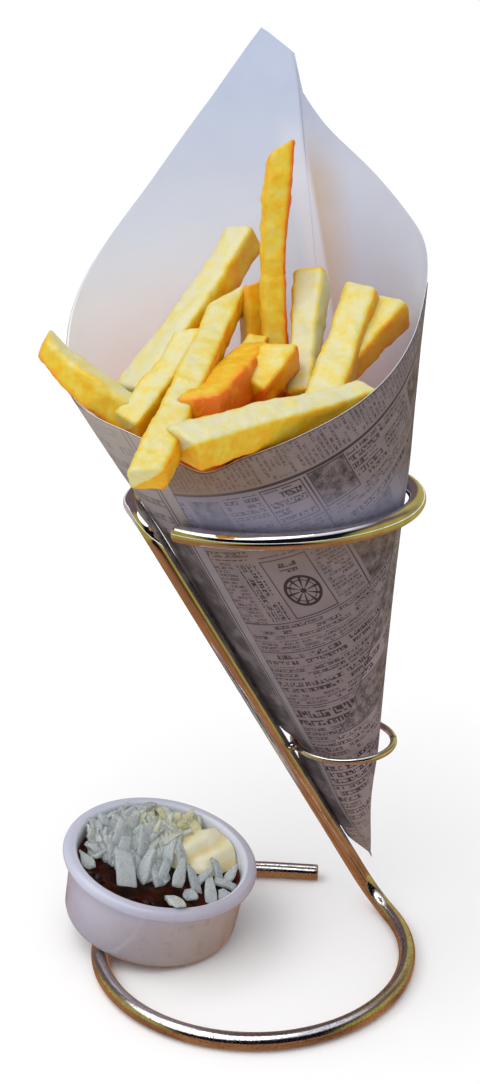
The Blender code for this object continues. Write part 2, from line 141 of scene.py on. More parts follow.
def face_out(obj):
    mesh = bmesh.new()
    mesh.from_mesh(obj.data)
    bmesh.ops.recalc_face_normals(mesh, faces=mesh.faces)
    mesh.to_mesh(obj.data)
    mesh.free()
    obj.data.shade_smooth()


def grid_faces(rows, columns, closed=False, start=0):
    """Faces of a grid of points, row after row."""
    faces = []
    for r in range(rows - 1):
        for c in range(columns if closed else columns - 1):
            d = (c + 1) % columns
            low = start + r * columns
            faces.append((low + c, low + d, low + columns + d, low + columns + c))
    return faces


def fan(ring, centre, flip=False):
    """Triangles that close a ring of point numbers onto one point."""
    made = []
    for i, corner in enumerate(ring):
        other = ring[(i + 1) % len(ring)]
        made.append((other, corner, centre) if flip else (corner, other, centre))
    return made


class Soup:
    """Points, faces and attributes of many small shapes, gathered into one mesh."""

    def __init__(self):
        self.points, self.faces, self.attributes, self.count = [], [], {}, 0

    def add(self, points, faces, **attributes):
        points = np.asarray(points, float).reshape(-1, 3)
        self.points.append(points)
        self.faces += [tuple(self.count + i for i in face) for face in faces]
        for key, values in attributes.items():
            self.attributes.setdefault(key, []).append(np.broadcast_to(values, (len(points),)))
        self.count += len(points)

    def piece(self, name, finishes, **more):
        joined = {key: np.concatenate(values) for key, values in self.attributes.items()}
        return piece(name, np.concatenate(self.points), self.faces, finishes, attributes=joined, **more)


def turned(name, profile, steps, finish, matrix, **more):
    """A closed turned shape from (radius, height) points; the first and last lie on the axis."""
    around = np.radians(np.arange(steps) * 360 / steps)
    inner = profile[1:-1]
    points = [(r * math.cos(a), r * math.sin(a), z) for r, z in inner for a in around]
    points += [(0, 0, profile[0][1]), (0, 0, profile[-1][1])]
    faces = grid_faces(len(inner), steps, closed=True)
    last = (len(inner) - 1) * steps
    faces += fan(list(range(steps)), len(points) - 2, flip=True)
    faces += fan(list(range(last, last + steps)), len(points) - 1)
    obj = piece(name, moved(points, matrix), faces, [finish], **more)
    face_out(obj)
    return obj


def moved(points, matrix):
    points = np.asarray(points, float).reshape(-1, 3)
    turn = np.array(matrix, float)
    return points @ turn[:3, :3].T + turn[:3, 3]


def bend(centre, radius, start, end, steps):
    angles = np.radians(np.linspace(start, end, steps + 1))
    return [(centre[0] + radius * math.cos(a), centre[1] + radius * math.sin(a)) for a in angles]


def tube(points, radii, sides, closed=False):
    """Points and faces of a round tube along a path, with rounded ends unless it is closed."""
    path = [Vector(p) for p in points]
    count = len(path)
    rows, side = [], None
    for i, point in enumerate(path):
        before = path[i - 1] if i or closed else point
        after = path[(i + 1) % count] if i < count - 1 or closed else point
        along = (after - before).normalized()
        if side is None:
            side = along.orthogonal().normalized()
        side = (side - along * side.dot(along)).normalized()
        up = along.cross(side)
        for k in range(sides):
            a = 2 * math.pi * k / sides
            rows.append(point + (side * math.cos(a) + up * math.sin(a)) * radii[i])
    faces = grid_faces(count, sides, closed=True)
    if not closed:
        rows += [path[0], path[-1]]
        last = (count - 1) * sides
        faces += fan(list(range(sides)), len(rows) - 2, flip=True)
        faces += fan(list(range(last, last + sides)), len(rows) - 1)
    return np.array([tuple(p) for p in rows]), faces


def bump_noise(point, scale, seed, octaves=2):
    """Smooth noise from about -1 to 1 whose features are about this many millimetres."""
    spot = Vector(point) / scale + Vector((seed * 3.7, seed * 1.3, seed * 7.1))
    return noise.fractal(spot, 1.0, 2.0, octaves)


def smoothstep(value, low, high):
    share = np.clip((value - low) / (high - low), 0.0, 1.0)
    return share * share * (3 - 2 * share)


# ---------------------------------------------------------------- shader building


def srgb(red, green, blue):
    """A display colour from 0 to 255 as a linear one."""
    def linear(value):
        value /= 255.0
        return value / 12.92 if value <= 0.04045 else ((value + 0.055) / 1.055) ** 2.4
    return (linear(red), linear(green), linear(blue), 1.0)


class Graph:
    """A node tree, built with short calls."""

    def __init__(self, tree):
        self.tree = tree

    def feed(self, socket, value):
        if isinstance(value, bpy.types.NodeSocket):
            self.tree.links.new(value, socket)
        else:
            socket.default_value = value

    def node(self, kind, inputs=(), **settings):
        made = self.tree.nodes.new("ShaderNode" + kind)
        for key, value in settings.items():
            setattr(made, key, value)
        for key, value in dict(inputs).items():
            self.feed(made.inputs[key], value)
        return made

    def math(self, operation, *values, clamp=False):
        made = self.node("Math", dict(enumerate(values)), operation=operation, use_clamp=clamp)
        return made.outputs[0]

    def times(self, first, *others):
        for other in others:
            first = self.math("MULTIPLY", first, other)
        return first

    def vector(self, x, y, z=0.0):
        return self.node("CombineXYZ", {0: x, 1: y, 2: z}).outputs[0]

    def split(self, vector):
        return self.node("SeparateXYZ", {0: vector}).outputs

    def spot(self):
        """The place on the object, in millimetres of the frame."""
        where = self.node("TexCoord").outputs["Object"]
        scaled = self.node("VectorMath", {0: where, "Scale": 1000.0}, operation="SCALE")
        return scaled.outputs[0]

    def attribute(self, name, output="Fac"):
        return self.node("Attribute", attribute_name=name).outputs[output]

    def noise(self, vector, size, detail=2.0, roughness=0.5, distortion=0.0):
        made = self.node("TexNoise", {"Vector": vector, "Scale": 1.0 / size, "Detail": detail,
                                      "Roughness": roughness, "Distortion": distortion})
        return made.outputs[0]

    def cells(self, vector, size, feature="F1"):
        return self.node("TexVoronoi", {"Vector": vector, "Scale": 1.0 / size}, feature=feature).outputs["Distance"]

    def mix(self, share, first, second):
        return self.node("Mix", {0: share, 6: first, 7: second}, data_type="RGBA").outputs[2]

    def ramp(self, value, *stops):
        """A colour ramp through (place, colour) stops."""
        made = self.node("ValToRGB", {0: value})
        band = made.color_ramp
        while len(band.elements) < len(stops):
            band.elements.new(1.0)
        for element, (where, colour) in zip(band.elements, stops):
            element.position = where
            element.color = colour
        return made.outputs[0]

    def between(self, value, low, high, to_low=0.0, to_high=1.0):
        made = self.node("MapRange", {0: value, 1: low, 2: high, 3: to_low, 4: to_high})
        return made.outputs[0]


class Shader(Graph):
    """A node material round one principled surface."""

    def __init__(self, name, colour=(0.8, 0.8, 0.8, 1.0), roughness=0.5, **sockets):
        self.material = bpy.data.materials.new(name)
        self.material.use_nodes = True
        super().__init__(self.material.node_tree)
        self.surface = self.tree.nodes["Principled BSDF"]
        self.set("Base Color", colour)
        self.set("Roughness", roughness)
        for key, value in sockets.items():
            self.set(key.replace("_", " "), value)

    def set(self, socket, value):
        self.feed(self.surface.inputs[socket], value)

    def bump(self, height, distance, strength=1.0):
        """Relief this many millimetres deep."""
        made = self.node("Bump", {"Height": height, "Distance": distance / 1000.0, "Strength": strength})
        self.set("Normal", made.outputs[0])


# ---------------------------------------------------------------- stand


def chrome(name, wear):
    """Polished plate with fine scratches; wear roughens and speckles it low down."""
    made = Shader(name, roughness=0.1, Metallic=1.0)
    spot = made.spot()
    height = made.split(spot)[2]
    low = made.between(height, 26.0, 4.0)
    fine = made.noise(spot, 0.55, 3.0, 0.7)
    broad = made.noise(spot, 6.0, 3.0)
    speck = made.math("MULTIPLY", made.between(fine, 0.5, 0.62), made.math("MULTIPLY", low, wear))
    tone = made.mix(made.between(broad, 0.35, 0.65), (0.80, 0.78, 0.76, 1), (0.68, 0.66, 0.64, 1))
    made.set("Base Color", made.mix(speck, tone, (0.30, 0.25, 0.24, 1)))
    rough = made.math("ADD", made.between(broad, 0.3, 0.7, 0.05, 0.11), made.math("MULTIPLY", speck, 0.25))
    made.set("Roughness", rough)
    made.bump(made.math("ADD", made.math("MULTIPLY", fine, made.math("MULTIPLY", low, wear)),
                        made.math("MULTIPLY", broad, 0.4)), 0.05, 0.5)
    return made.material


def circle_point(centre, radius, degrees):
    angle = math.radians(degrees)
    x, y = radius * math.cos(angle), radius * math.sin(angle)
    return Vector((centre[0] + x, centre[1] + y, centre[2])), x, y


def arc(point_at, start, end, step):
    count = max(2, round(abs(end - start) / step))
    return [point_at(start + (end - start) * i / count) for i in range(count + 1)]


def rounded_corner(before, corner, after, radius, steps):
    back = (before - corner).normalized()
    on = (after - corner).normalized()
    half = back.angle(on) / 2
    middle = corner + (back + on).normalized() * radius / math.sin(half)
    first = corner + back * radius / math.tan(half) - middle
    last = corner + on * radius / math.tan(half) - middle
    return [middle + first.slerp(last, i / steps) * radius for i in range(steps + 1)]


def loop_point(degrees):
    share = (LOOP_NARROWS_FROM - degrees) / (LOOP_NARROWS_FROM - LOOP_NARROWS_TO)
    share = min(1.0, max(0.0, share))
    share = share * share * (3 - 2 * share)
    radius = LOOP_RADIUS + (LOOP_END_RADIUS - LOOP_RADIUS) * share
    return circle_point((0, 0, ROD_RADIUS), radius, degrees)[0]


def ring_point(degrees):
    point, x, y = circle_point(RING_CENTRE, RING_RADIUS, degrees)
    point.z += RING_RISE_RIGHT * x + RING_RISE_BACK * y
    return point


def stand_route():
    loop_end = 360 + LOOP_FOOT_ANGLE
    ring_lead = RING_START_ANGLE - RING_LEAD_ANGLE
    foot = Vector(STEM_FOOT)
    top = ring_point(RING_START_ANGLE)
    route = [Vector(FREE_END)]
    route += arc(loop_point, LOOP_END_ANGLE, loop_end, 2.0)
    route += rounded_corner(loop_point(loop_end), foot, top, FOOT_BEND_RADIUS, 16)[1:]
    route += rounded_corner(foot, top, ring_point(ring_lead), TOP_BEND_RADIUS, 14)
    route += arc(ring_point, ring_lead, RING_FREE_ANGLE, 2.0)
    return route


def evenly(points, step):
    """The path's points, this far apart."""
    made = [points[0]]
    for first, second in zip(points, points[1:]):
        gap = (second - first).length
        count = max(1, round(gap / step))
        made += [first.lerp(second, i / count) for i in range(1, count + 1)]
    return [p for i, p in enumerate(made) if i == 0 or (p - made[i - 1]).length > 1e-4]


def softened(points, rounds):
    """Takes the corners out of a path, where straight runs meet arcs."""
    for _ in range(rounds):
        inner = [points[i] * 0.5 + (points[i - 1] + points[i + 1]) * 0.25 for i in range(1, len(points) - 1)]
        points = [points[0]] + inner + [points[-1]]
    return points


def rounded_ends(points, radius, edge, steps=4):
    """A path and its radii, with the corners of both cut ends eased by this edge radius."""
    path, radii = list(points), [radius] * len(points)
    for at_start in (True, False):
        end, inner = (path[0], path[1]) if at_start else (path[-1], path[-2])
        out = (end - inner).normalized()
        for i in range(steps + 1):
            angle = math.radians(90 * i / steps)
            spot = end - out * edge * (1 - math.sin(angle))
            size = radius - edge * (1 - math.cos(angle))
            if at_start:
                path.insert(0, spot) if i else path.__setitem__(0, spot)
                radii.insert(0, size) if i else None
            else:
                path.append(spot) if i else path.__setitem__(-1, spot)
                radii.append(size) if i else None
    return path, radii


def make_stand():
    finish = chrome("polished_rod", 1.0)
    route = softened(evenly(stand_route(), 1.6), 6)
    path, radii = rounded_ends(route, ROD_RADIUS, 0.5)
    points, faces = tube(path, radii, 40)
    rod = piece("bent_rod", points, faces, [finish], "chromed_rod", ["stand_rod"])
    face_out(rod)
    weld = Soup()
    ring = [circle_point(LOWER_RING_CENTRE, LOWER_RING_RADIUS, a)[0] for a in np.arange(0, 360, 2.5)]
    weld.add(*tube(ring, [LOWER_WIRE_RADIUS] * len(ring), 24, closed=True))
    # The braze where the thin ring meets the stem.
    foot, top = Vector(STEM_FOOT), ring_point(RING_START_ANGLE)
    share = (LOWER_RING_CENTRE[2] - foot.z) / (top.z - foot.z)
    stem = foot.lerp(top, share)
    nearest = min(ring, key=lambda p: (p - stem).length)
    towards = (nearest - stem).normalized()
    blob_path, blob_radii = [], []
    for i in range(9):
        t = i / 8
        blob_path.append(stem + towards * (ROD_RADIUS - 0.8) + towards * ((nearest - stem).length - ROD_RADIUS + 1.9) * t)
        blob_radii.append(0.6 + 1.25 * math.sin(math.pi * min(1.0, t * 0.9 + 0.1)) ** 0.7)
    weld.add(*tube(blob_path, blob_radii, 16))
    lower = weld.piece("lower_wire_ring", [chrome("polished_wire", 0.2)],
                       slot="chromed_rod", replaces=["lower_ring"])
    face_out(lower)


# ---------------------------------------------------------------- paper

HALF_ANGLE_SINE = CONE_SPREAD / math.hypot(1.0, CONE_SPREAD)
PRINT_AXIS = -44.0  # angle of the print's upright direction on the flattened sheet
FLAP_EDGE = -126.0  # where the left flap ends on the front
WRAP_EDGE_TURN = 6.5  # the wrap's right edge, a straight line on the flattened sheet
WRAP_EDGE_REACH = -34.3
WRAP_CORNER = 47.7  # how far up the cone's side the wrap's lower corner is
SEAM_ANGLE = 59.6


def stem_point(height):
    """The middle of the stem's straight run at a height."""
    foot, top = Vector(STEM_FOOT), ring_point(RING_START_ANGLE)
    return foot.lerp(top, (height - foot.z) / (top.z - foot.z))


def lean_out(centre, degrees, radius):
    """How far the loose outer paper leaves the plain cone to rest on the stem."""
    height = centre.z
    stem = stem_point(height) - centre
    slope = (ring_point(RING_START_ANGLE) - Vector(STEM_FOOT)).normalized()
    room = stem.length - ROD_RADIUS / slope.z - REST_GAP - radius
    turn = (degrees - math.degrees(math.atan2(stem.y, stem.x)) + REST_TURN + 180) % 360 - 180
    if room <= 0 or abs(turn) >= REST_HALF_WIDTH:
        return 0.0
    off_ring = 1 - math.exp(-(((height - LOWER_RING_CENTRE[2]) / REST_RING_FADE) ** 2))
    off_tip = smoothstep(height, CONE_TIP[2], CONE_TIP[2] + REST_TIP_FADE)
    share = REST_REACH * off_ring * off_tip * (1 - smoothstep(height, *REST_TOP))
    return room * share * math.cos(math.radians(90 * turn / REST_HALF_WIDTH)) ** 2


def cone_point(degrees, height, inset=0.0):
    """A point on the paper's outer surface, or this far inside it, at an angle and a height."""
    up = height - CONE_TIP[2]
    centre = Vector((CONE_TIP[0] + CONE_LEAN_X * up, CONE_TIP[1] + CONE_LEAN_Y * up, height))
    foot_share = min(up / (LOWER_RING_CENTRE[2] - CONE_TIP[2]), 1.0)
    centre.x -= CONE_FOOT_BOW * math.sin(math.pi * foot_share) ** 2
    pinch_share = min(up / (PINCH_TOP - CONE_TIP[2]), 1.0)
    radius = CONE_SPREAD * up - CONE_PINCH * max(0.0, math.sin(math.pi * pinch_share))
    radius += lean_out(centre, degrees, radius)
    return tuple(circle_point(centre, max(0.12, radius - inset), degrees)[0])


def rim_height(degrees):
    """The rim's height at an angle, on a line through PAPER_RIM that turns sharply at its first two corners."""
    peak = PAPER_RIM[0][0]
    degrees = peak - (peak - degrees) % 360
    count = len(PAPER_RIM)
    at = max(i for i in range(count) if PAPER_RIM[i][0] >= degrees)

    def knot(i):
        angle, height = PAPER_RIM[i % count]
        return angle - 360 * (i // count), height

    def slope(i):
        (a0, h0), (a1, h1) = knot(i - 1), knot(i + 1)
        return (h1 - h0) / (a1 - a0)

    (a0, h0), (a1, h1) = knot(at), knot(at + 1)
    run = a1 - a0
    t = (degrees - a0) / run
    first = h1 - h0 if at in (0, 1) else slope(at) * run
    last = h1 - h0 if (at + 1) % count in (0, 1) else slope(at + 1) * run
    return (
        h0 * (2 * t**3 - 3 * t**2 + 1)
        + first * (t**3 - 2 * t**2 + t)
        + h1 * (3 * t**2 - 2 * t**3)
        + last * (t**3 - t**2)
    )


def slant(height):
    """How far up the cone's side a height is."""
    return (height - CONE_TIP[2]) * math.hypot(1.0, CONE_SPREAD)


def wrap_edge(height):
    """Angle round the cone of the wrap's slanting right edge at a height."""
    up = max(slant(height), -WRAP_EDGE_REACH + 0.5)
    return (WRAP_EDGE_TURN + math.degrees(math.asin(WRAP_EDGE_REACH / up))) / HALF_ANGLE_SINE


def paper_sheet(name, start, end, low, high, inset, thickness, finishes, columns, rows, rim_finish=0, **more):
    """A sheet on the cone between two angles and two heights; end, low and high may be functions."""
    points, flat, across = [], [], []
    for r in range(rows + 1):
        share = r / rows
        for c in range(columns + 1):
            angle = start + (end(low + 1.0) - start) * c / columns
            height = low
            for _ in range(4):
                height = low + (high(angle) - low) * share
                angle = start + (end(height) - start) * c / columns
            around = math.radians(angle)
            place = (50.0 * math.cos(around), 50.0 * math.sin(around), height * 0.5)
            wave = 0.35 * bump_noise(place, 22.0, 4.0) * smoothstep(height, 60, 220)
            points.append(cone_point(angle, height, inset(angle, height) + wave))
            turn = math.radians(angle * HALF_ANGLE_SINE - PRINT_AXIS)
            across.append(c / columns)
            flat.append((slant(height) * math.sin(turn), slant(height) * math.cos(turn), angle))
    faces = [tuple(reversed(face)) for face in grid_faces(rows + 1, columns + 1)]
    if end(low) > start:
        faces = [tuple(reversed(face)) for face in faces]
    obj = piece(name, points, faces, finishes, "printed_paper", attributes={"sheet": flat, "across": across}, **more)
    wall = obj.modifiers.new("Paper thickness", "SOLIDIFY")
    wall.thickness = thickness / 1000.0
    wall.offset = -1.0
    wall.material_offset = 1
    wall.material_offset_rim = rim_finish
    bpy.context.view_layer.objects.active = obj
    bpy.ops.object.modifier_apply(modifier=wall.name)
    obj.data.set_sharp_from_angle(angle=math.radians(50))
    return obj


class Print(Shader):
    """Newsprint ink on the flattened sheet, whose places are in millimetres."""

    def __init__(self, name, across=0.0, up=0.0):
        super().__init__(name, roughness=0.62, Specular_IOR_Level=0.25)
        where = self.split(self.attribute("sheet", "Vector"))
        self.u = self.math("FLOORED_MODULO", self.math("ADD", where[0], across), 96.0)
        self.v = self.math("ADD", where[1], up)
        self.turn = where[2]
        self.ink = None

    def near(self, value, low, high):
        return self.math("COMPARE", value, (low + high) / 2, (high - low) / 2)

    def inside(self, left, right, bottom, top):
        return self.times(self.near(self.u, left, right), self.near(self.v, bottom, top))

    def text(self, pitch, x_height, letter, word, upright=False):
        """Greeked lines of type: rows of stems and bars in word-long runs."""
        across, up = (self.v, self.u) if upright else (self.u, self.v)
        lines = self.math("DIVIDE", up, pitch)
        row = self.math("FLOOR", lines)
        level = self.math("FRACT", lines)
        place = self.math("DIVIDE", across, letter)
        shift = self.math("MULTIPLY", row, 17.3)
        sway = self.noise(self.vector(place, shift, 0.5), 1.3, 1.0)
        stems = self.math("FRACT", self.math("ADD", place, self.math("MULTIPLY", sway, 3.0)))
        hole = self.noise(self.vector(place, shift, self.math("MULTIPLY", level, 2.4)), 1.1, 0.0)
        stems = self.times(self.math("LESS_THAN", stems, 0.6), self.math("GREATER_THAN", hole, 0.43))
        off_middle = self.math("ABSOLUTE", self.math("SUBTRACT", level, 0.5))
        edge = self.math("GREATER_THAN", off_middle, x_height * 0.31)
        bars = self.math("GREATER_THAN", self.noise(self.vector(place, shift, level), 0.9, 0.0), 0.46)
        strokes = self.math("MAXIMUM", stems, self.times(edge, bars))
        band = self.math("LESS_THAN", off_middle, x_height / 2)
        run = self.vector(self.math("DIVIDE", across, word), self.math("MULTIPLY", row, 5.7), 3.0)
        words = self.math("GREATER_THAN", self.noise(run, 1.0, 0.0), 0.39)
        return self.times(band, strokes, words)

    def stripes(self, value, pitch, share):
        return self.math("LESS_THAN", self.math("FRACT", self.math("DIVIDE", value, pitch)), share)

    def picture(self, size):
        """A dark halftone block of uneven grey."""
        place = self.vector(self.u, self.v)
        tone = self.between(self.noise(place, size, 5.0, 0.7), 0.36, 0.6, 0.1, 1.0)
        dots = self.between(self.cells(place, 0.55), 0.2, 0.7, 0.7, 1.0)
        return self.times(tone, dots)

    def wheel(self, x, y, radius, spokes):
        """A spoked wheel, as a plain ornament."""
        dx = self.math("SUBTRACT", self.u, x)
        dy = self.math("SUBTRACT", self.v, y)
        far = self.math("SQRT", self.math("ADD", self.times(dx, dx), self.times(dy, dy)))
        turn = self.math("MULTIPLY", self.math("ARCTAN2", dy, dx), spokes / (2 * math.pi))
        spoke = self.math("LESS_THAN", self.math("FRACT", turn), 0.3)
        hub = self.near(far, 0.0, radius * 0.16)
        tyre = self.near(far, radius * 0.84, radius)
        rim = self.near(far, radius * 0.66, radius * 0.72)
        inner = self.times(spoke, self.near(far, 0.0, radius))
        return self.math("MAXIMUM", self.math("MAXIMUM", inner, rim), self.math("MAXIMUM", hub, tyre))

    def press(self, mask, pattern=1.0, weight=1.0):
        """Prints a pattern where the mask is."""
        new = self.times(mask, pattern, weight)
        self.ink = new if self.ink is None else self.math("MAXIMUM", self.ink, new)

    def frame(self, left, right, bottom, top, line=0.45):
        """A printed rule round a box."""
        hole = self.inside(left + line, right - line, bottom + line, top - line)
        self.press(self.inside(left, right, bottom, top), self.math("SUBTRACT", 1.0, hole), 0.9)

    def finish(self, paper, ink, shade=None):
        place = self.vector(self.u, self.v)
        cloud = self.noise(place, 9.0, 3.0)
        fibre = self.noise(place, 0.8, 3.0, 0.7)
        sheet = self.mix(self.between(cloud, 0.3, 0.7), paper, [c * 0.84 for c in paper[:3]] + [1.0])
        sheet = self.mix(self.between(fibre, 0.35, 0.75, 0.0, 0.3), sheet, [c * 0.66 for c in paper[:3]] + [1.0])
        worn = self.times(self.ink, self.between(fibre, 0.25, 0.6, 1.0, 0.85))
        colour = self.mix(worn, sheet, ink)
        if shade is not None:
            colour = shade(self, colour)
        self.set("Base Color", colour)
        self.bump(self.math("ADD", fibre, self.math("MULTIPLY", cloud, 2.0)), 0.06, 0.4)
        return self.material


# Newsprint grey, darkened well below real newsprint as painted shade for the cone's shaded outside.
SHADED_NEWSPRINT_GREY = (0.232, 0.18, 0.186, 1.0)
INK_GREY = (0.015, 0.009, 0.010, 1.0)


def ring_glow(shader, colour):
    """Cool light thrown up by the upper ring, warm light under it, and brown casts at the rim and the tip."""
    height = shader.split(shader.spot())[2]
    level = RING_CENTRE[2]
    above = shader.times(shader.between(height, level - 2.0, level + 3.0),
                         shader.between(height, level + 20.0, level + 5.0))
    below = shader.times(shader.between(height, level + 1.0, level - 4.0),
                         shader.between(height, level - 14.0, level - 5.0))
    colour = shader.mix(shader.math("MULTIPLY", above, 0.5), colour, (0.32, 0.34, 0.50, 1.0))
    colour = shader.mix(shader.math("MULTIPLY", below, 0.35), colour, (0.20, 0.12, 0.06, 1.0))
    colour = shader.mix(shader.between(height, 62.0, 30.0, 0.0, 0.45), colour, (0.30, 0.23, 0.18, 1.0))
    rim = shader.times(shader.near(shader.v, 164.5, 240.0), shader.between(shader.turn, -60.0, -110.0))
    return shader.mix(shader.math("MULTIPLY", rim, 0.5), colour, (0.24, 0.14, 0.05, 1.0))


def wrap_print():
    made = Print("newsprint_wrap")
    small = made.text(1.55, 0.62, 0.55, 4.5)
    medium = made.text(2.1, 0.64, 0.8, 7.0)
    bold = made.text(3.1, 0.7, 1.25, 10.0)
    large = made.text(4.6, 0.72, 1.9, 14.0)
    column = made.text(2.4, 0.66, 1.0, 8.0, upright=True)
    comb = made.text(1.8, 0.55, 0.75, 5.0, upright=True)
    photo = made.picture(4.0)
    full = (0.0, 96.0)
    for bottom, top, pattern in ((40, 52, medium), (53, 57, bold), (58, 65, medium), (66, 74.6, large),
                                 (76, 80.5, small), (81.5, 86, bold), (87, 93, medium), (94, 98.4, bold),
                                 (100, 104.5, small), (105, 111, medium), (138.5, 143, bold), (143.8, 148.4, small)):
        made.press(made.inside(*full, bottom, top), pattern, 0.95)
    for rule in (75.2, 99.2, 111.6):
        made.press(made.inside(*full, rule, rule + 0.4), weight=0.8)
    made.press(made.inside(23, 30, 113, 137), column)
    made.frame(32.0, 49.0, 112.6, 137.4)
    made.press(made.inside(33, 48, 113, 137), made.wheel(40.5, 123, 6.6, 10))
    made.press(made.inside(37, 44, 131.5, 135.5), bold)
    made.press(made.inside(50.5, 62, 113, 137), small, 0.9)
    made.press(made.inside(63.0, 63.6, 111, 163), weight=0.9)
    made.press(made.inside(65, 90, 112, 138), photo)
    made.press(made.inside(0, 21, 112, 138), small, 0.9)
    made.press(made.inside(20, 32, 149, 162), photo, 0.9)
    made.press(made.inside(33.5, 46, 149.5, 162.5), medium, 0.95)
    made.frame(47.0, 62.0, 149.0, 163.0)
    made.press(made.inside(48, 61, 150, 162), bold)
    made.frame(64.5, 79.5, 149.0, 163.5)
    made.press(made.inside(65, 79, 150, 163), photo)
    made.press(made.inside(80, 95, 150, 163), bold, 0.9)
    made.press(made.inside(0, 18, 149, 163), medium, 0.95)
    made.press(made.inside(*full, 163.8, 164.8), weight=0.95)
    made.press(made.inside(*full, 165.6, 240), comb, 0.8)
    # A painted shadow line along the wrap's right edge, pressed in ink colour.
    made.press(made.between(made.attribute("across"), 0.98, 1.0), weight=0.85)
    return made.finish(SHADED_NEWSPRINT_GREY, INK_GREY, ring_glow)


def base_print():
    made = Print("newsprint_base", across=20.0)
    bold = made.text(3.1, 0.68, 1.25, 9.0)
    medium = made.text(2.3, 0.64, 0.9, 7.0)
    photo = made.picture(4.0)
    full = (0.0, 96.0)
    for bottom, top, pattern, weight in ((0, 18, medium, 0.9), (19, 36, bold, 1.0), (37, 50, bold, 1.0),
                                         (51, 60, medium, 0.9), (61, 76, photo, 0.9), (77, 84, bold, 1.0),
                                         (85, 104, photo, 0.9), (105, 118, medium, 0.9), (120, 142, photo, 0.8),
                                         (144, 160, medium, 0.9), (161, 178, photo, 0.7), (182, 300, medium, 0.9)):
        made.press(made.inside(*full, bottom, top), pattern, weight)
    for rule in (36.3, 60.3, 76.3, 104.4, 118.8, 180.0):
        made.press(made.inside(*full, rule, rule + 0.5), weight=0.9)
    # The base sheet takes a lighter copy of the newsprint grey that carries painted shade.
    return made.finish([c * 1.3 for c in SHADED_NEWSPRINT_GREY[:3]] + [1.0], INK_GREY, ring_glow)


def flap_top(shader, colour):
    """The flap pales towards its top."""
    return shader.mix(shader.between(shader.v, 150.0, 185.0, 0.0, 0.5), colour, (0.50, 0.45, 0.38, 1.0))


def flap_print():
    """The left flap: pale, with sparse type near the rim and a fine hatched picture lower down."""
    made = Print("newsprint_flap", across=60.0)
    slope = made.math("ADD", made.math("MULTIPLY", made.u, 0.8), made.v)
    sparse = made.text(6.5, 0.42, 1.5, 9.0)
    hatch = made.times(made.stripes(slope, 1.3, 0.6), made.between(
        made.noise(made.vector(made.u, made.v), 9.0, 3.0), 0.3, 0.5))
    printed = made.math("LESS_THAN", made.turn, FLAP_EDGE - 9.0)
    low = made.times(printed, made.math("LESS_THAN", made.v, 146.0))
    high = made.times(printed, made.math("GREATER_THAN", made.v, 146.0))
    made.press(low, hatch)
    made.press(low, made.picture(6.0), 0.7)
    made.press(high, sparse, 0.75)
    for line in (8.6, 6.4):
        made.press(made.near(made.turn, FLAP_EDGE - line, FLAP_EDGE - line + 0.9), weight=0.9)
    # The flap's paper grey is darkened the same way, as painted shade.
    return made.finish((0.255, 0.215, 0.23, 1.0), INK_GREY, flap_top)


def white_paper():
    made = Shader("white_paper", roughness=0.55, Specular_IOR_Level=0.3)
    spot = made.spot()
    x, y, z = made.split(spot)
    turn = made.split(made.attribute("sheet", "Vector"))[2]
    # Painted shade: the inside turns lavender-blue towards the top and towards the right.
    far = made.math("MAXIMUM", made.between(z, 222.0, 300.0), made.between(x, -30.0, 30.0, 0.0, 0.66))
    colour = made.ramp(far, (0.0, (0.95, 0.96, 0.97, 1)), (0.3, (0.78, 0.84, 0.93, 1)),
                       (0.6, (0.62, 0.68, 0.80, 1)), (1.0, (0.50, 0.57, 0.735, 1)))
    grain = made.noise(spot, 14.0, 3.0)
    fibre = made.noise(spot, 0.9, 2.0)
    # The fold beside the seam, in painted light and shade: a paler face, then a tan shade that fades to the right.
    off_fold = made.math("SUBTRACT", turn, made.math("ADD", made.math("MULTIPLY", z, 0.082), 35.8))
    tan = made.times(made.between(off_fold, -13.0, -1.0), made.between(off_fold, 1.2, -0.4),
                     made.between(z, 288.0, 270.0))
    colour = made.mix(made.math("MULTIPLY", tan, 0.9), colour, (0.58, 0.47, 0.38, 1))
    face = made.times(made.between(off_fold, -0.4, 1.2), made.between(off_fold, 9.0, 5.0),
                      made.between(z, 290.0, 272.0))
    colour = made.mix(made.math("MULTIPLY", face, 0.5), colour, (0.82, 0.80, 0.86, 1))
    # Painted blue-grey shade to the right of the seam near the top, strongest at the seam.
    shade = made.times(made.between(turn, 25.0, SEAM_ANGLE - 1.0), made.between(turn, SEAM_ANGLE + 0.2, SEAM_ANGLE - 0.2),
                       made.between(z, 268.0, 290.0))
    colour = made.mix(made.math("MULTIPLY", shade, 0.6), colour, (0.40, 0.43, 0.54, 1))
    colour = made.mix(made.between(grain, 0.35, 0.7, 0.0, 0.1), colour, (0.86, 0.86, 0.92, 1))
    made.set("Base Color", colour)
    made.bump(made.math("ADD", fibre, made.math("MULTIPLY", grain, 3.0)), 0.05, 0.35)
    return made.material


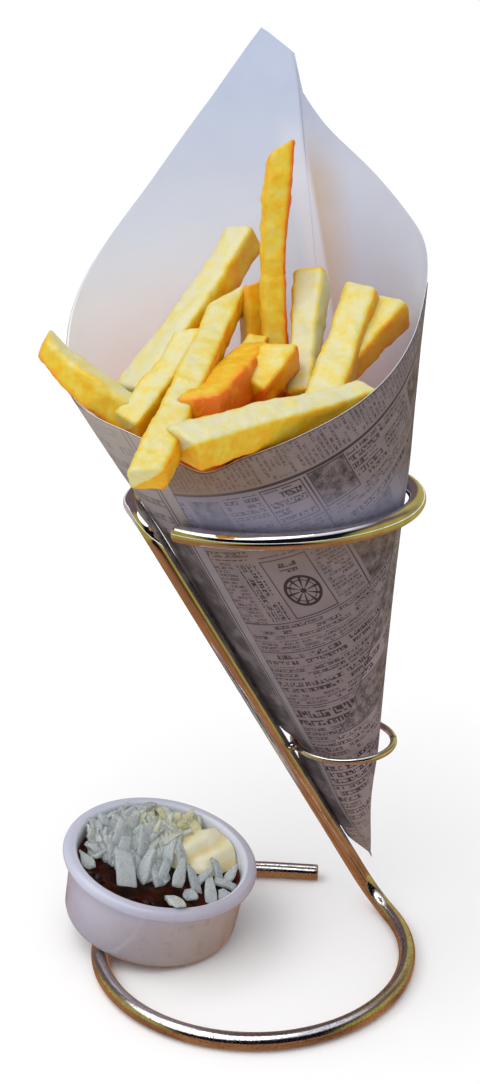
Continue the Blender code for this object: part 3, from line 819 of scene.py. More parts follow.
def make_paper():
    white = white_paper()
    base = base_print()
    wrap = wrap_print()
    flap = flap_print()

    def base_inset(angle, height):
        return 0.5

    def wrap_inset(angle, height):
        return 0.22

    def flap_inset(angle, height):
        return 0.0 + 0.2 * smoothstep(angle, FLAP_EDGE - 40, FLAP_EDGE - 160)

    def lining_inset(angle, height):
        return 0.72

    def rim(drop=0.0):
        return lambda angle: rim_height(angle) - drop

    low = CONE_TIP[2]
    paper_sheet("cone_sheet", SEAM_ANGLE - 360.0, lambda h: SEAM_ANGLE, low, rim(), base_inset, 0.2,
                [base, white], 288, 90, rim_finish=1, replaces=["paper_cone"])
    wrap_low = low + WRAP_CORNER / math.hypot(1.0, CONE_SPREAD)
    paper_sheet("cone_wrap", FLAP_EDGE - 20.0, wrap_edge, wrap_low, rim(0.5), wrap_inset, 0.22,
                [wrap, white], 150, 90)
    paper_sheet("cone_flap", FLAP_EDGE, lambda h: FLAP_EDGE - 150.0, low + 14.0, rim(0.2), flap_inset, 0.2,
                [flap, white], 120, 80)
    paper_sheet("cone_lining", SEAM_ANGLE - 0.5, lambda h: SEAM_ANGLE + 150.0, 150.0, rim(0.3), lining_inset, 0.2,
                [white, white], 120, 60)


# ---------------------------------------------------------------- fries

# Lower end, upper end, widths at both, bow, roll in degrees, how deeply fried, browning of the ends,
# slope of the upper cut across the fry, and which side takes the painted golden shade: 1 right, -1 left.
FRIES = [
    ((9, 20, 200), (9.0, 48, 281.5), 8.8, 8.8, -2.8, 4, 0.40, 0.06, 0.6, 1),
    ((-40, 15, 203), (-3, 60, 251), 13.4, 12.2, 1.0, -3, 0.02, -0.05, 0.1, 1),
    ((-37.5, 2, 199), (-69.4, 18, 223), 12.8, 8.4, -3.0, 8, 0.12, 0.12, 0.5, -1),
    ((-40.5, -5, 198.5), (-21.0, 22, 223.5), 10.5, 9.6, 1.0, 8, 0.12, 0.02, 0.6, 1),
    ((-32.5, -48, 194.5), (-9, 36, 232), 10.8, 10.6, 0.5, 8, 0.15, -0.1, 1.8, 1),
    ((0.5, 27, 206), (-1, 42, 237), 7.5, 8.0, 0.0, 15, 0.46, 0.1, 0.4, 1),
    ((15, 6, 206), (20, 44, 238.5), 8.6, 11.6, 0.0, -16, 0.03, 0.36, 0.0, -1),
    ((20, -10, 203), (37, 38, 234.5), 12.4, 12.2, 0.0, 3, 0.12, 0.02, -0.2, 1),
    ((22, 4, 207), (47, 36, 230), 9.0, 12.4, 0.0, 8, 0.20, -0.2, 0.0, 1),
    ((-18.0, -23.5, 208.0), (1, 17, 217), 14.0, 12.0, 0.0, -6, 0.52, 0.3, 0.0, 1),
    ((-1, -3, 210.0), (8, 12, 218.5), 10.0, 12.0, 1.5, 10, 0.30, 0.1, 0.5, 1),
    ((-22, -36.5, 200.5), (36.5, -3, 210.5), 12.8, 9.4, 0.8, 20, 0.0, 0.0, 0.3, 1),
    ((-14, 12, 207), (-30, 34, 214), 10.0, 10.0, 0.0, 10, 0.42, 0.0, 0.0, 1),
    ((-5, 8, 213), (1, 26, 221), 8.0, 7.5, 0.0, 20, 0.30, 0.1, 0.3, 1),
]
FRY_FLATNESS = 0.92
SECTION_POWER = 5.5


def potato(name, depth=0.0):
    """Pale fried faces that turn golden to orange; the crisp attribute says how far."""
    made = Shader(name, roughness=0.42, Subsurface_Weight=0.18, Subsurface_Scale=0.0015,
                  Specular_IOR_Level=0.4, Coat_Weight=0.15, Coat_Roughness=0.25)
    made.set("Subsurface Radius", (1.0, 0.6, 0.25))
    spot = made.spot()
    crisp = made.attribute("crisp")
    blotch = made.noise(spot, 5.5, 3.0, 0.55)
    grain = made.noise(spot, 1.5, 3.0, 0.6)
    fine = made.noise(spot, 0.5, 2.0)
    level = made.math("ADD", crisp, made.between(blotch, 0.36, 0.68, -0.09, 0.18))
    level = made.math("ADD", level, made.between(grain, 0.3, 0.7, -0.05, 0.06))
    level = made.math("ADD", level, depth, clamp=True)
    colour = made.ramp(
        level,
        (0.0, srgb(214, 210, 170)),
        (0.15, srgb(218, 208, 138)),
        (0.3, srgb(222, 202, 96)),
        (0.45, srgb(226, 192, 42)),
        (0.6, srgb(228, 174, 4)),
        (0.78, srgb(234, 156, 2)),
        (0.92, srgb(234, 136, 0)),
        (1.0, srgb(226, 108, 0)),
    )
    made.set("Base Color", colour)
    made.set("Roughness", made.between(grain, 0.3, 0.7, 0.34, 0.55))
    relief = made.math("ADD", made.math("MULTIPLY", grain, 0.7), made.math("MULTIPLY", fine, 0.3))
    made.bump(made.math("ADD", relief, blotch), 0.35, 0.6)
    return made.material


def section(around):
    """Points round a square with eased corners, and the ways its faces look."""
    made = []
    for k in range(around):
        side, along = divmod(4 * (k + 0.5) / around, 1.0)
        x, y = 1.0, 2 * along - 1
        for _ in range(int(side)):
            x, y = -y, x
        size = (abs(x) ** SECTION_POWER + abs(y) ** SECTION_POWER) ** (1 / SECTION_POWER)
        x, y = x / size, y / size
        look = Vector((math.copysign(abs(x) ** (SECTION_POWER - 1), x),
                       math.copysign(abs(y) ** (SECTION_POWER - 1), y))).normalized()
        made.append((x, y, look.x, look.y))
    return made


def fry_shape(low, high, low_width, high_width, bow, roll, depth, browning, slant_cut, shaded_side, seed, around=36, step=0.9):
    """One cut fry: a slightly bowed and blistered block with eased edges and slanting cut ends."""
    draw = random.Random(seed)
    low, high = Vector(low), Vector(high)
    along = (high - low).normalized()
    flat_side = along.cross(Vector((0, 0, 1))).normalized()
    flat_face = flat_side.cross(along)
    turn = Matrix.Rotation(math.radians(roll), 3, along)
    side, face = turn @ flat_side, turn @ flat_face
    length = (high - low).length
    edge = min(low_width, high_width) * 0.11
    cuts = [(draw.uniform(-0.35, 0.35), draw.uniform(-0.35, 0.35)), (slant_cut, draw.uniform(-0.25, 0.25))]
    wander = [draw.uniform(0, 6.28) for _ in range(4)]
    inner = np.linspace(edge, length - edge, max(8, round((length - 2 * edge) / step)))
    ease = edge * (1 - np.cos(np.radians([25, 60])))
    stations = [0.0, *ease, *inner, *(length - ease[::-1]), length]
    corners = section(around)
    points, crisp = [], []

    def station(distance, shrink):
        share = distance / length
        near = min(distance, length - distance)
        width = low_width + (high_width - low_width) * share
        across = width / 2 * (1 + 0.05 * math.sin(share * 5 + wander[0]) + 0.03 * math.sin(share * 13 + wander[1]))
        middle = low.lerp(high, share) + flat_side * bow * (1 - (2 * share - 1) ** 2)
        middle += flat_face * 0.6 * math.sin(share * 4 + wander[2])
        cut = cuts[0] if share < 0.5 else cuts[1]
        slope = math.exp(-near / (0.6 * width))
        for x, y, look_x, look_y in corners:
            px = max(0.0, across - shrink) * x
            py = max(0.0, across * FRY_FLATNESS - shrink) * y
            spot = middle + side * px + face * py + along * (cut[0] * px + cut[1] * py) * slope
            out = side * look_x + face * look_y
            lump = 0.5 * bump_noise(spot, 8.0, seed) + 0.22 * bump_noise(spot, 2.4, seed + 1)
            blister = max(0.0, bump_noise(spot, 3.2, seed + 2, 1) - 0.2) * 0.8
            points.append(spot + out * (lump + blister) * (0.35 if shrink > edge else 1.0))
            end = 1 - smoothstep(near, 0.0, 2.5)
            # Undersides and one side are painted deeper golden as shade, and the edges crisped.
            painted_shade_below = smoothstep(0.75 * shaded_side * out.x - 0.7 * out.z, -0.25, 0.5)
            rim = smoothstep(min(abs(x), abs(y)) / max(abs(x), abs(y)), 0.6, 1.0)
            crisp.append(depth + 0.22 * rim + (0.05 + browning) * end + 0.5 * painted_shade_below + 0.15 * blister)

    for share in (0.82, 0.45):
        station(0.0, share * low_width * 0.5)
    for distance in stations:
        near = min(distance, length - distance)
        shrink = edge - math.sqrt(max(0.0, edge**2 - (edge - min(near, edge)) ** 2))
        station(distance, shrink)
    for share in (0.45, 0.82):
        station(length, share * high_width * 0.5)
    rows = len(points) // around
    faces = grid_faces(rows, around, closed=True)
    first, last = list(range(around)), list(range((rows - 1) * around, rows * around))
    for ring in (first, last):
        points.append(sum((Vector(points[i]) for i in ring), Vector()) / around)
        crisp.append(sum(crisp[i] for i in ring) / around)
    faces += fan(first, rows * around, flip=True)
    faces += fan(last, rows * around + 1)
    return [tuple(p) for p in points], faces, np.array(crisp)


def fill_top(degrees):
    return min(rim_height(degrees) - 4.0, 204.0)


def kept_inside(points, gap):
    """Points of a buried shape, drawn in wherever they would reach the paper."""
    made = []
    for x, y, z in points:
        axis = Vector(cone_point(0.0, z, 1e3))
        way = Vector((x - axis.x, y - axis.y, 0.0))
        degrees = math.degrees(math.atan2(way.y, way.x))
        room = (Vector(cone_point(degrees, z)) - axis).length - gap
        if way.length > room:
            way *= room / way.length
        made.append((axis.x + way.x, axis.y + way.y, z))
    return made


def make_fries():
    finish = potato("fried_potato")
    soup = Soup()
    for index, sizes in enumerate(FRIES):
        points, faces, crisp = fry_shape(*sizes, 11 + index)
        soup.add(points, faces, crisp=crisp)
    fries = soup.piece("cut_fries", [finish], slot="fried_potato", replaces=["fries"])
    face_out(fries)

    # Shorter fries packed below, seen in the gaps.
    draw = random.Random(5)
    packed = Soup()
    for index in range(46):
        reach = 50 * math.sqrt(draw.uniform(0.0, 1.0))
        turn = draw.uniform(0, 360)
        level = 186 + draw.uniform(0, 11)
        inner = cone_point(turn, level, 9.0)
        centre = cone_point(turn, level, 1e3)
        spot = Vector(centre).lerp(Vector(inner), min(1.0, reach / 50))
        heading = Vector((draw.uniform(-1, 1), draw.uniform(-0.3, 1), draw.uniform(0.1, 0.9))).normalized()
        half = draw.uniform(8, 13)
        width = draw.uniform(8.5, 11.5)
        points, faces, crisp = fry_shape(spot - heading * half, spot + heading * half, width, width, 0.0,
                                         draw.uniform(0, 90), draw.uniform(0.6, 0.95), 0.1, 0.2, 1, 100 + index, 20, 1.6)
        packed.add(kept_inside(points, 1.6), faces, crisp=crisp)
    under = packed.piece("packed_fries", [potato("packed_potato", 0.12)], slot="fried_potato")
    face_out(under)

    # The core below them, inside the paper.
    rings, columns = [], 72
    angles = [360 * i / columns for i in range(columns)]
    for share in np.linspace(0, 1, 14):
        rings.append([cone_point(a, 42 + (fill_top(a) - 12 - 42) * share, 1.6) for a in angles])
    edge = np.array(rings[-1])
    crown = edge.mean(0) + np.array([0, 0, 3.0])
    for share in (0.85, 0.7, 0.55, 0.4, 0.25, 0.12):
        ring = crown + (edge - crown) * share
        lump = np.array([1.6 * bump_noise(p, 9.0, 3) for p in ring])
        ring[:, 2] = crown[2] + (edge[:, 2] - crown[2]) * share**4 + lump
        rings.append([tuple(p) for p in ring])
    points = [p for ring in rings for p in ring] + [tuple(crown), tuple(np.array(rings[0]).mean(0))]
    faces = grid_faces(len(rings), columns, closed=True)
    last = (len(rings) - 1) * columns
    faces += fan(list(range(last, last + columns)), len(points) - 2)
    faces += fan(list(range(columns)), len(points) - 1, flip=True)
    core = piece("fries_core", points, faces, [potato("core_potato", 0.5)], "fried_potato",
                 attributes={"crisp": [0.4] * len(points)})
    face_out(core)


# ---------------------------------------------------------------- ramekin and dip

tilt = Matrix.Rotation(math.radians(RAMEKIN_TILT), 4, Vector(RAMEKIN_TILT_AXIS))
RAMEKIN_SEAT = Matrix.Translation(Vector(RAMEKIN_PLACE)) @ tilt


def glaze():
    made = Shader("white_glaze", roughness=0.16, Specular_IOR_Level=0.35, Coat_Weight=0.25, Coat_Roughness=0.08)
    spot = made.spot()
    cloud = made.noise(spot, 16.0, 3.0)
    speck = made.noise(spot, 0.7, 2.0)
    smudge = made.noise(spot, 3.2, 4.0, 0.65)
    x, y, height = made.split(spot)
    # Painted shade: the outside wall is darker and bluer than the inside, darker again below the lip and darkest
    # towards the foot.
    low = made.times(made.between(height, 34.0, 28.0), made.attribute("outside"))
    colour = made.mix(made.attribute("outside"), (0.64, 0.67, 0.76, 1), (0.52, 0.545, 0.67, 1))
    colour = made.mix(low, colour, (0.44, 0.425, 0.53, 1))
    colour = made.mix(made.times(low, made.between(height, 24.0, 6.0)), colour, (0.31, 0.30, 0.37, 1))
    # Painted warm brownish shade on one side of the outside wall, below the lip.
    painted_warm_shade = made.times(low, made.between(height, 27.0, 20.0), made.between(x, -55.0, -15.0))
    colour = made.mix(made.math("MULTIPLY", painted_warm_shade, 0.8), colour, (0.40, 0.315, 0.26, 1))
    colour = made.mix(made.between(cloud, 0.35, 0.65, 0.0, 0.12), colour, (0.72, 0.70, 0.74, 1))
    # Darker blotches, only inside the painted warm shade.
    dark_blotch = made.times(made.between(smudge, 0.55, 0.68), painted_warm_shade, 0.4)
    colour = made.mix(dark_blotch, colour, (0.24, 0.20, 0.19, 1))
    made.set("Base Color", colour)
    made.set("Roughness", made.between(cloud, 0.3, 0.7, 0.12, 0.24))
    made.bump(made.math("ADD", made.math("MULTIPLY", cloud, 4.0), speck), 0.05, 0.4)
    return made.material


def make_ramekin():
    lip = 2.3
    lip_x, lip_z = RAMEKIN_RIM_RADIUS - lip, RAMEKIN_HEIGHT - lip
    profile = [(0.0, RAMEKIN_FLOOR), (12.0, RAMEKIN_FLOOR)]
    profile += bend((RAMEKIN_CAVITY_RADIUS - 4.0, RAMEKIN_FLOOR + 4.0), 4.0, -90, 0, 6)
    profile += [(RAMEKIN_CAVITY_RADIUS, 14.0), (RAMEKIN_CAVITY_RADIUS + 0.1, 20.0), (RAMEKIN_CAVITY_RADIUS + 0.3, lip_z)]
    profile += bend((lip_x - 0.6, lip_z), lip, 150, 90, 5)
    profile += bend((lip_x, lip_z), lip, 90, -60, 14)[1:]
    profile += bend((RAMEKIN_WALL_RADIUS + 0.9, lip_z - lip - 0.9), 0.9, 110, 180, 3)
    profile += [(RAMEKIN_WALL_RADIUS - 0.1, 16.0), (RAMEKIN_FOOT_RADIUS + 0.2, 9.0)]
    profile += bend((RAMEKIN_FOOT_RADIUS - 3.6, 3.6), 3.6, 0, -78, 8)
    edge = RAMEKIN_FOOT_RADIUS - 6.5
    profile += [(edge, 0.0), (edge - 0.5, 0.35), (edge - 1.0, 0.9), (12.0, 0.9), (0.0, 0.9)]
    outside = [float(r > 32.5 or (r > 31.0 and z < 12.0) or z < 4.0) for r, z in profile[1:-1] for _ in range(160)]
    turned("white_ramekin", profile, 160, glaze(), RAMEKIN_SEAT, slot="white_glaze", replaces=["ramekin"],
           attributes={"outside": outside + [0.0, 1.0]})


def sauce_finish():
    made = Shader("dark_sauce", roughness=0.07, Specular_IOR_Level=0.14)
    spot = made.spot()
    cloud = made.noise(spot, 7.0, 3.0)
    colour = made.mix(made.between(cloud, 0.4, 0.65), (0.006, 0.0008, 0.0012, 1), (0.030, 0.0015, 0.0015, 1))
    colour = made.mix(made.attribute("thin"), colour, (0.12, 0.013, 0.005, 1))
    made.set("Base Color", colour)
    made.set("Roughness", made.between(cloud, 0.3, 0.7, 0.04, 0.09))
    made.bump(cloud, 0.3, 0.25)
    return made.material


# Dents in the sauce that catch the light: place in the ramekin, half sizes, turn and depth.
SAUCE_DENTS = [((-22.0, -11.5), (2.6, 1.3), -35, 1.2), ((-6.0, -22.5), (3.8, 1.7), 8, 1.5), ((10.0, -24.0), (2.2, 1.1), 20, 1.1)]


def make_sauce():
    radius = RAMEKIN_CAVITY_RADIUS - 0.05
    rings, columns = 60, 144
    points, thin = [], []
    for r in range(1, rings + 1):
        reach = radius * r / rings
        for c in range(columns):
            a = 2 * math.pi * c / columns
            x, y = reach * math.cos(a), reach * math.sin(a)
            z = SAUCE_LEVEL + 0.35 * bump_noise((x, y, 0), 8.0, 2.0)
            z += 1.1 * math.exp(-(radius - reach) / 0.9)
            for (cx, cy), (a1, a2), turn, depth in SAUCE_DENTS:
                t = math.radians(turn)
                dx, dy = x - cx, y - cy
                p = (dx * math.cos(t) + dy * math.sin(t)) / a1
                q = (-dx * math.sin(t) + dy * math.cos(t)) / a2
                far = math.hypot(p, q)
                z += depth * (math.exp(-((far - 1.0) / 0.35) ** 2) - 0.9 * math.exp(-(far / 0.8) ** 2))
            points.append((x, y, z))
            thin.append(0.9 * smoothstep(reach, radius - 2.0, radius)
                        + 0.5 * smoothstep(x, 10, 26) * smoothstep(-y, 5, 25))
    bottom = []
    for reach, z in ((radius, 14.0), (radius - 1.5, 7.0), (radius - 5.0, RAMEKIN_FLOOR + 0.2)):
        for c in range(columns):
            a = 2 * math.pi * c / columns
            bottom.append((reach * math.cos(a), reach * math.sin(a), z))
    points += bottom
    thin += [0.0] * len(bottom)
    faces = grid_faces(rings + 3, columns, closed=True)
    points += [(0, 0, SAUCE_LEVEL), (0, 0, RAMEKIN_FLOOR + 0.2)]
    thin += [0.0, 0.0]
    faces += fan(list(range(columns)), len(points) - 2, flip=True)
    last = (rings + 2) * columns
    faces += fan(list(range(last, last + columns)), len(points) - 1)
    obj = piece("dark_sauce", moved(points, RAMEKIN_SEAT), faces, [sauce_finish()], "brown_sauce",
                ["brown_sauce"], {"thin": thin})
    face_out(obj)


def mayo_finish():
    made = Shader("mayonnaise", roughness=0.3, Subsurface_Weight=0.2, Subsurface_Scale=0.003, Coat_Weight=0.2,
                  Coat_Roughness=0.15)
    made.set("Subsurface Radius", (1.0, 0.8, 0.4))
    spot = made.spot()
    cloud = made.noise(spot, 6.0, 3.0)
    colour = made.mix(made.between(cloud, 0.35, 0.65), srgb(232, 228, 200), srgb(230, 222, 180))
    # Painted shade: the troughs between the folds turn a darker yellow.
    colour = made.mix(made.attribute("fold_shade"), colour, srgb(224, 196, 104))
    made.set("Base Color", colour)
    made.bump(cloud, 0.5, 0.3)
    return made.material


def make_mayonnaise():
    """A large soft dollop against the back wall, with folds running to the front."""
    centre = (17.0, 13.0)
    rings, columns = 40, 96
    points, fold_shade = [], []
    for r in range(1, rings + 1):
        share = r / rings
        for c in range(columns):
            a = 2 * math.pi * c / columns
            reach = 15.0 * (1 + 0.12 * math.sin(2 * a + 0.9) + 0.06 * math.sin(5 * a + 2.0))
            x, y = centre[0] + reach * share * math.cos(a), centre[1] + reach * share * math.sin(a)
            far = math.hypot(x, y)
            if far > RAMEKIN_CAVITY_RADIUS - 0.15:
                x, y = (v * (RAMEKIN_CAVITY_RADIUS - 0.15) / far for v in (x, y))
            ridge = math.sin(0.62 * (x * 0.8 - y * 0.6) + 0.9 * math.sin(y * 0.35))
            rise = 4.6 + 3.0 * smoothstep(y, 2.0, 20.0)
            z = SAUCE_LEVEL - 0.8 + rise * (1 - share**4.0) + 0.7 * ridge * (1 - share**2)
            z += 0.4 * bump_noise((x, y, 0), 6.0, 8.0)
            points.append((x, y, z))
            # How deep in a trough each point lies, for the painted fold shade.
            fold_shade.append(smoothstep(-ridge, 0.3, 1.0) * 0.45)
    points += [(centre[0], centre[1], SAUCE_LEVEL + 5.0), (centre[0], centre[1], SAUCE_LEVEL - 2.5)]
    fold_shade += [0.0, 0.0]
    faces = grid_faces(rings, columns, closed=True)
    faces += fan(list(range(columns)), len(points) - 2, flip=True)
    last = (rings - 1) * columns
    faces += fan(list(range(last, last + columns)), len(points) - 1)
    obj = piece("mayonnaise_dollop", moved(points, RAMEKIN_SEAT), faces, [mayo_finish()], "mayonnaise",
                ["mayonnaise"], {"fold_shade": fold_shade})
    face_out(obj)


def onion_finish():
    made = Shader("chopped_onion", roughness=0.3, Subsurface_Weight=0.6, Subsurface_Scale=0.0025,
                  Specular_IOR_Level=0.4, Transmission_Weight=0.45, IOR=1.3)
    made.set("Subsurface Radius", (1.0, 1.0, 0.9))
    spot = made.spot()
    x, y, z = made.split(spot)
    streak = made.noise(made.vector(made.math("MULTIPLY", x, 2.0), y, z), 4.0, 2.0)
    colour = made.ramp(made.attribute("tint"), (0.0, srgb(186, 193, 198)), (0.35, srgb(208, 214, 214)),
                       (0.7, srgb(222, 224, 202)), (1.0, srgb(232, 227, 182)))
    colour = made.mix(made.between(streak, 0.4, 0.7, 0.0, 0.2), colour, srgb(232, 240, 244))
    made.set("Base Color", colour)
    # A faint painted glow: the pieces give off light in their own colour, lifting the shade between them.
    made.set("Emission Color", colour)
    made.set("Emission Strength", 0.05)
    made.set("Roughness", made.between(streak, 0.3, 0.7, 0.2, 0.4))
    made.bump(streak, 0.1, 0.3)
    return made.material


def onion_shape(length, width, thickness, curl, point, seed):
    """A slice of a chopped onion layer: a thin curled slab with cut edges, wide at one end."""
    draw = random.Random(seed)
    rows, around = 10, 12
    skew = draw.uniform(-0.6, 0.6)
    lean = draw.uniform(-0.25, 0.25)
    points = []
    for r in range(rows + 1):
        share = r / rows
        body = 1 - 0.85 * point * smoothstep(share, 0.3, 1.1) - 0.3 * point * smoothstep(share, 0.25, -0.1)
        body *= 1 + lean * math.sin(5.0 * share)
        turn = curl * (share - 0.5)
        reach = length / max(curl, 0.05)
        for k in range(around):
            a = 2 * math.pi * (k + 0.5) / around
            px = math.copysign(abs(math.cos(a)) ** 0.2, math.cos(a)) * width / 2 * body
            pz = math.copysign(abs(math.sin(a)) ** 0.2, math.sin(a)) * thickness / 2
            pz -= 0.3 * px * px / max(width, 1.0)
            spot = Vector((px, (reach + pz) * math.sin(turn) + skew * px, (reach + pz) * math.cos(turn) - reach))
            spot += Vector((0, 0, 0.1 * bump_noise(spot, 2.5, seed)))
            points.append(spot)
    faces = grid_faces(rows + 1, around, closed=True)
    first, last = list(range(around)), list(range(rows * around, (rows + 1) * around))
    for ring in (first, last):
        points.append(sum((points[i] for i in ring), Vector()) / around)
    faces += fan(first, len(points) - 2, flip=True)
    faces += fan(last, len(points) - 1)
    return [tuple(p) for p in points], faces


# Onion at the front of the heap: place in the ramekin, height over the sauce, length, width, heading, tilt.
ONION_FRONT = [
    ((-20, 3), 3.0, 12, 4.6, 30, 30), ((-12, -8), 3.2, 18, 7.8, 14, 24), ((-14, 1), 4.6, 12, 5.0, -8, 34),
    ((-5, -4), 4.0, 14, 5.0, -16, 34), ((2, -6), 3.0, 12, 4.4, -12, 26), ((8, -5), 3.4, 12, 4.2, -6, 30),
    ((13, -6), 2.6, 12, 3.8, 22, 18), ((19.5, -10.5), 1.7, 14, 4.2, 8, 12), ((12, -14), 1.2, 5.5, 5.2, 10, 6),
    ((25, -5.5), 1.8, 8, 3.6, 80, 8), ((25, -12), 1.3, 6, 5.2, 30, 6), ((27, 0), 3.0, 8, 3.4, -30, 24),
    ((-27, -3), 1.6, 9, 3.8, 40, 14), ((22, -1), 3.4, 10, 3.4, 20, 34), ((6, -25), 6.2, 16, 6.0, 20, -24),
    ((3, 3), 5.6, 12, 4.5, -20, 40), ((8, 2), 5.2, 11, 4.4, 20, 34), ((-24, 8), 5.4, 11, 5.0, 24, 30),
    ((-16, 8), 7.0, 12, 5.0, -10, 36), ((-7, 6), 7.0, 12, 4.6, 12, 40), ((-1, -7.5), 2.4, 9, 3.4, 30, 20),
    ((17, -4), 3.0, 9, 3.4, -40, 20),
]


def make_onion():
    draw = random.Random(23)
    soup = Soup()

    def heap(x, y):
        """How far the heap stands over the sauce: low at the front, high at the back wall."""
        return 1.2 + 5.8 * smoothstep(y + 0.25 * abs(x + 6), -6.0, 22.0)

    def lay(x, y, z, length, width, heading, tilt_angle, curl, tint, seed):
        points, faces = onion_shape(length, width, draw.uniform(1.0, 1.8), curl, draw.uniform(0.2, 1.0), seed)
        turn = Matrix.Translation((x, y, z)) @ Matrix.Rotation(math.radians(heading), 4, "Z")
        turn = turn @ Matrix.Rotation(math.radians(tilt_angle), 4, "X")
        turn = turn @ Matrix.Rotation(math.radians(draw.uniform(-35, 35)), 4, "Y")
        laid = moved(points, turn)
        # The wall holds in whatever lies below the rim.
        for spot in laid:
            room = RAMEKIN_CAVITY_RADIUS - 0.4 + 8.0 * smoothstep(spot[2], 27.5, 31.0)
            far = math.hypot(spot[0], spot[1])
            if far > room:
                spot[:2] *= room / far
        soup.add(moved(laid, RAMEKIN_SEAT), faces, tint=tint)

    for index, ((x, y), rise, length, width, heading, lean) in enumerate(ONION_FRONT):
        lay(x, y, SAUCE_LEVEL + rise, length, width, heading, lean, draw.uniform(0.3, 1.0),
            draw.uniform(0.0, 0.4), 200 + index)
    index = 0
    while index < 190:
        x, y = draw.uniform(-30, 22), draw.uniform(-7, 29)
        far = math.hypot(x, y)
        if far > 29.0 or y < -0.45 * (x + 30) + 4 or (x > 3 and y < 2.1 * (x - 3) + 1):
            continue
        rise = heap(x, y) * (draw.uniform(0.75, 1.1) if index > 70 else draw.uniform(0.3, 0.8))
        back = smoothstep(y, 4, 20) * smoothstep(x, -24, 4)
        lay(x, y, SAUCE_LEVEL + rise, draw.uniform(4.5, 11), draw.uniform(2.2, 4.8), draw.uniform(-70, 70),
            draw.uniform(0, 50), draw.uniform(0.2, 1.3), min(1.0, draw.uniform(0.1, 0.5) + back * draw.random()),
            300 + index)
        index += 1
    pieces = soup.piece("onion_pieces", [onion_finish()], slot="chopped_onion", replaces=["chopped_onion"],
                        smooth=False)
    face_out(pieces)


# ---------------------------------------------------------------- stage, light and camera


def make_stage():
    floor_finish = Shader("pale_floor", (0.95, 0.95, 0.95, 1.0), 0.7, Specular_IOR_Level=0.1)
    spot = floor_finish.spot()
    floor_finish.set("Base Color", floor_finish.mix(floor_finish.noise(spot, 240.0, 2.0),
                                                    (0.95, 0.95, 0.95, 1), (0.97, 0.97, 0.97, 1)))
    bpy.ops.mesh.primitive_plane_add(size=40.0, location=(0, 0, 0))
    floor = bpy.context.object
    floor.name = "floor"
    floor.data.materials.append(floor_finish.material)

    # What the plating reflects from below: a warm wooden table top, seen in reflections only.
    wood = Shader("table_reflection")
    spot = wood.spot()
    x, y, z = wood.split(spot)
    grain = wood.noise(wood.vector(wood.math("MULTIPLY", x, 0.25), y), 22.0, 4.0, 0.6)
    tone = wood.mix(wood.between(grain, 0.35, 0.65), srgb(186, 128, 84), srgb(124, 84, 58))
    tone = wood.mix(wood.between(y, -150.0, -330.0), tone, srgb(22, 16, 24))
    tone = wood.mix(wood.between(wood.math("ABSOLUTE", x), 170.0, 300.0), tone, srgb(170, 158, 74))
    behind = wood.ramp(wood.between(x, -150.0, 250.0), (0.0, srgb(190, 186, 190)), (0.04, srgb(190, 186, 190)),
                       (0.14, srgb(26, 20, 24)), (0.68, srgb(26, 20, 24)), (0.8, srgb(176, 164, 90)))
    tone = wood.mix(wood.between(y, 120.0, 260.0), tone, behind)
    glow = wood.node("Emission", {"Color": tone, "Strength": 1.0})
    out = wood.tree.nodes["Material Output"]
    wood.tree.links.new(glow.outputs[0], out.inputs["Surface"])
    bpy.ops.mesh.primitive_plane_add(size=3.0, location=(0, 0, 0.0004))
    table = bpy.context.object
    table.name = "table_reflection"
    table.data.materials.append(wood.material)
    table.visible_camera = False
    table.visible_diffuse = False
    table.visible_shadow = False
    table.visible_transmission = False
    table.visible_volume_scatter = False


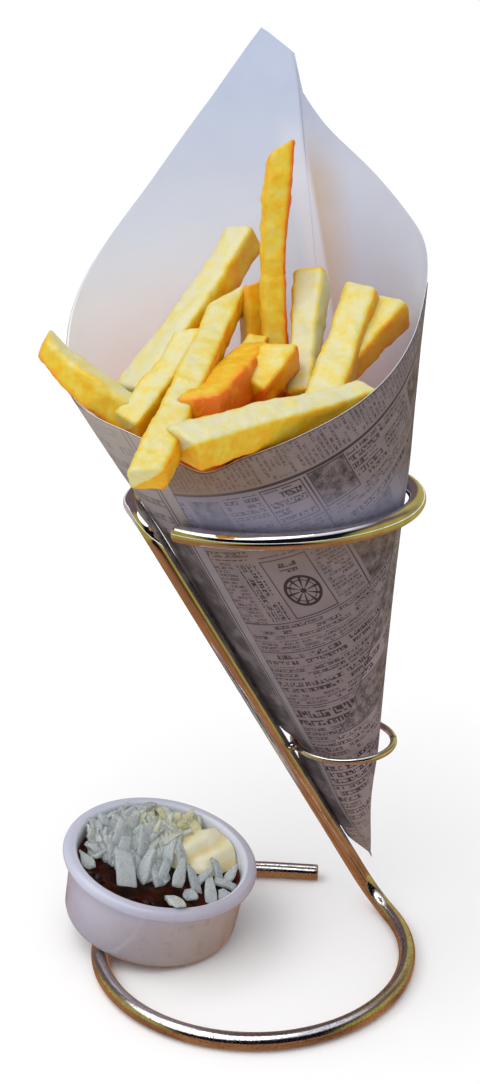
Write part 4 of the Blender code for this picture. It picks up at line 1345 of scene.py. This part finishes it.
def make_world():
    """White all round for the camera and soft light; a room with a bright ceiling in reflections."""
    world = bpy.data.worlds.new("studio")
    bpy.context.scene.world = world
    world.use_nodes = True
    tree = world.node_tree
    tree.nodes.clear()
    room = Graph(tree)
    way = room.split(room.node("TexCoord").outputs["Generated"])
    front = room.mix(room.between(way[1], -0.35, 0.25), srgb(12, 10, 24), srgb(112, 92, 96))
    sides = room.between(room.math("ABSOLUTE", way[0]), 0.72, 0.9)
    level = room.mix(sides, front, srgb(176, 164, 84))
    right = room.times(room.between(way[0], 0.05, 0.2), room.between(way[1], 0.5, 0.8))
    level = room.mix(right, level, srgb(186, 174, 100))
    ceiling = room.mix(room.between(way[2], 0.74, 0.86), level, srgb(240, 242, 255))
    soft = room.node("Background", {"Color": (0.95, 0.96, 1.0, 1), "Strength": 0.62})
    white = room.node("Background", {"Color": (1, 1, 1, 1), "Strength": 1.0})
    shiny = room.node("Background", {"Color": ceiling, "Strength": 1.0})
    path = room.node("LightPath")
    for_camera = room.node("MixShader", {0: path.outputs["Is Camera Ray"], 1: soft.outputs[0], 2: white.outputs[0]})
    both = room.node("MixShader", {0: path.outputs["Is Glossy Ray"], 1: for_camera.outputs[0], 2: shiny.outputs[0]})
    out = room.node("OutputWorld")
    tree.links.new(both.outputs[0], out.inputs["Surface"])


def make_lights():
    """A soft sun from above, a little in front and to the left, as from a bright ceiling."""
    data = bpy.data.lights.new("soft_overhead", "SUN")
    data.energy = 1.9
    data.angle = math.radians(70)
    data.color = (1.0, 0.985, 0.96)
    light = bpy.data.objects.new("soft_overhead", data)
    light.rotation_euler = (math.radians(10), math.radians(-20), 0.0)
    bpy.context.scene.collection.objects.link(light)


def make_camera():
    """As the photograph was taken: from the front, 19 degrees above level."""
    data = bpy.data.cameras.new("camera")
    data.lens = 52.26
    data.sensor_width = 36.0
    data.clip_start = 0.01
    camera = bpy.data.objects.new("camera", data)
    camera.location = (0.0013, -0.5216, 0.3294)
    camera.rotation_euler = (math.radians(90 - 19.014), 0.0, 0.0)
    bpy.context.scene.collection.objects.link(camera)
    bpy.context.scene.camera = camera


make_stand()
make_paper()
make_fries()
make_ramekin()
make_sauce()
make_mayonnaise()
make_onion()
make_stage()
make_world()
make_lights()
make_camera()
bpy.context.scene.view_settings.view_transform = "Standard"
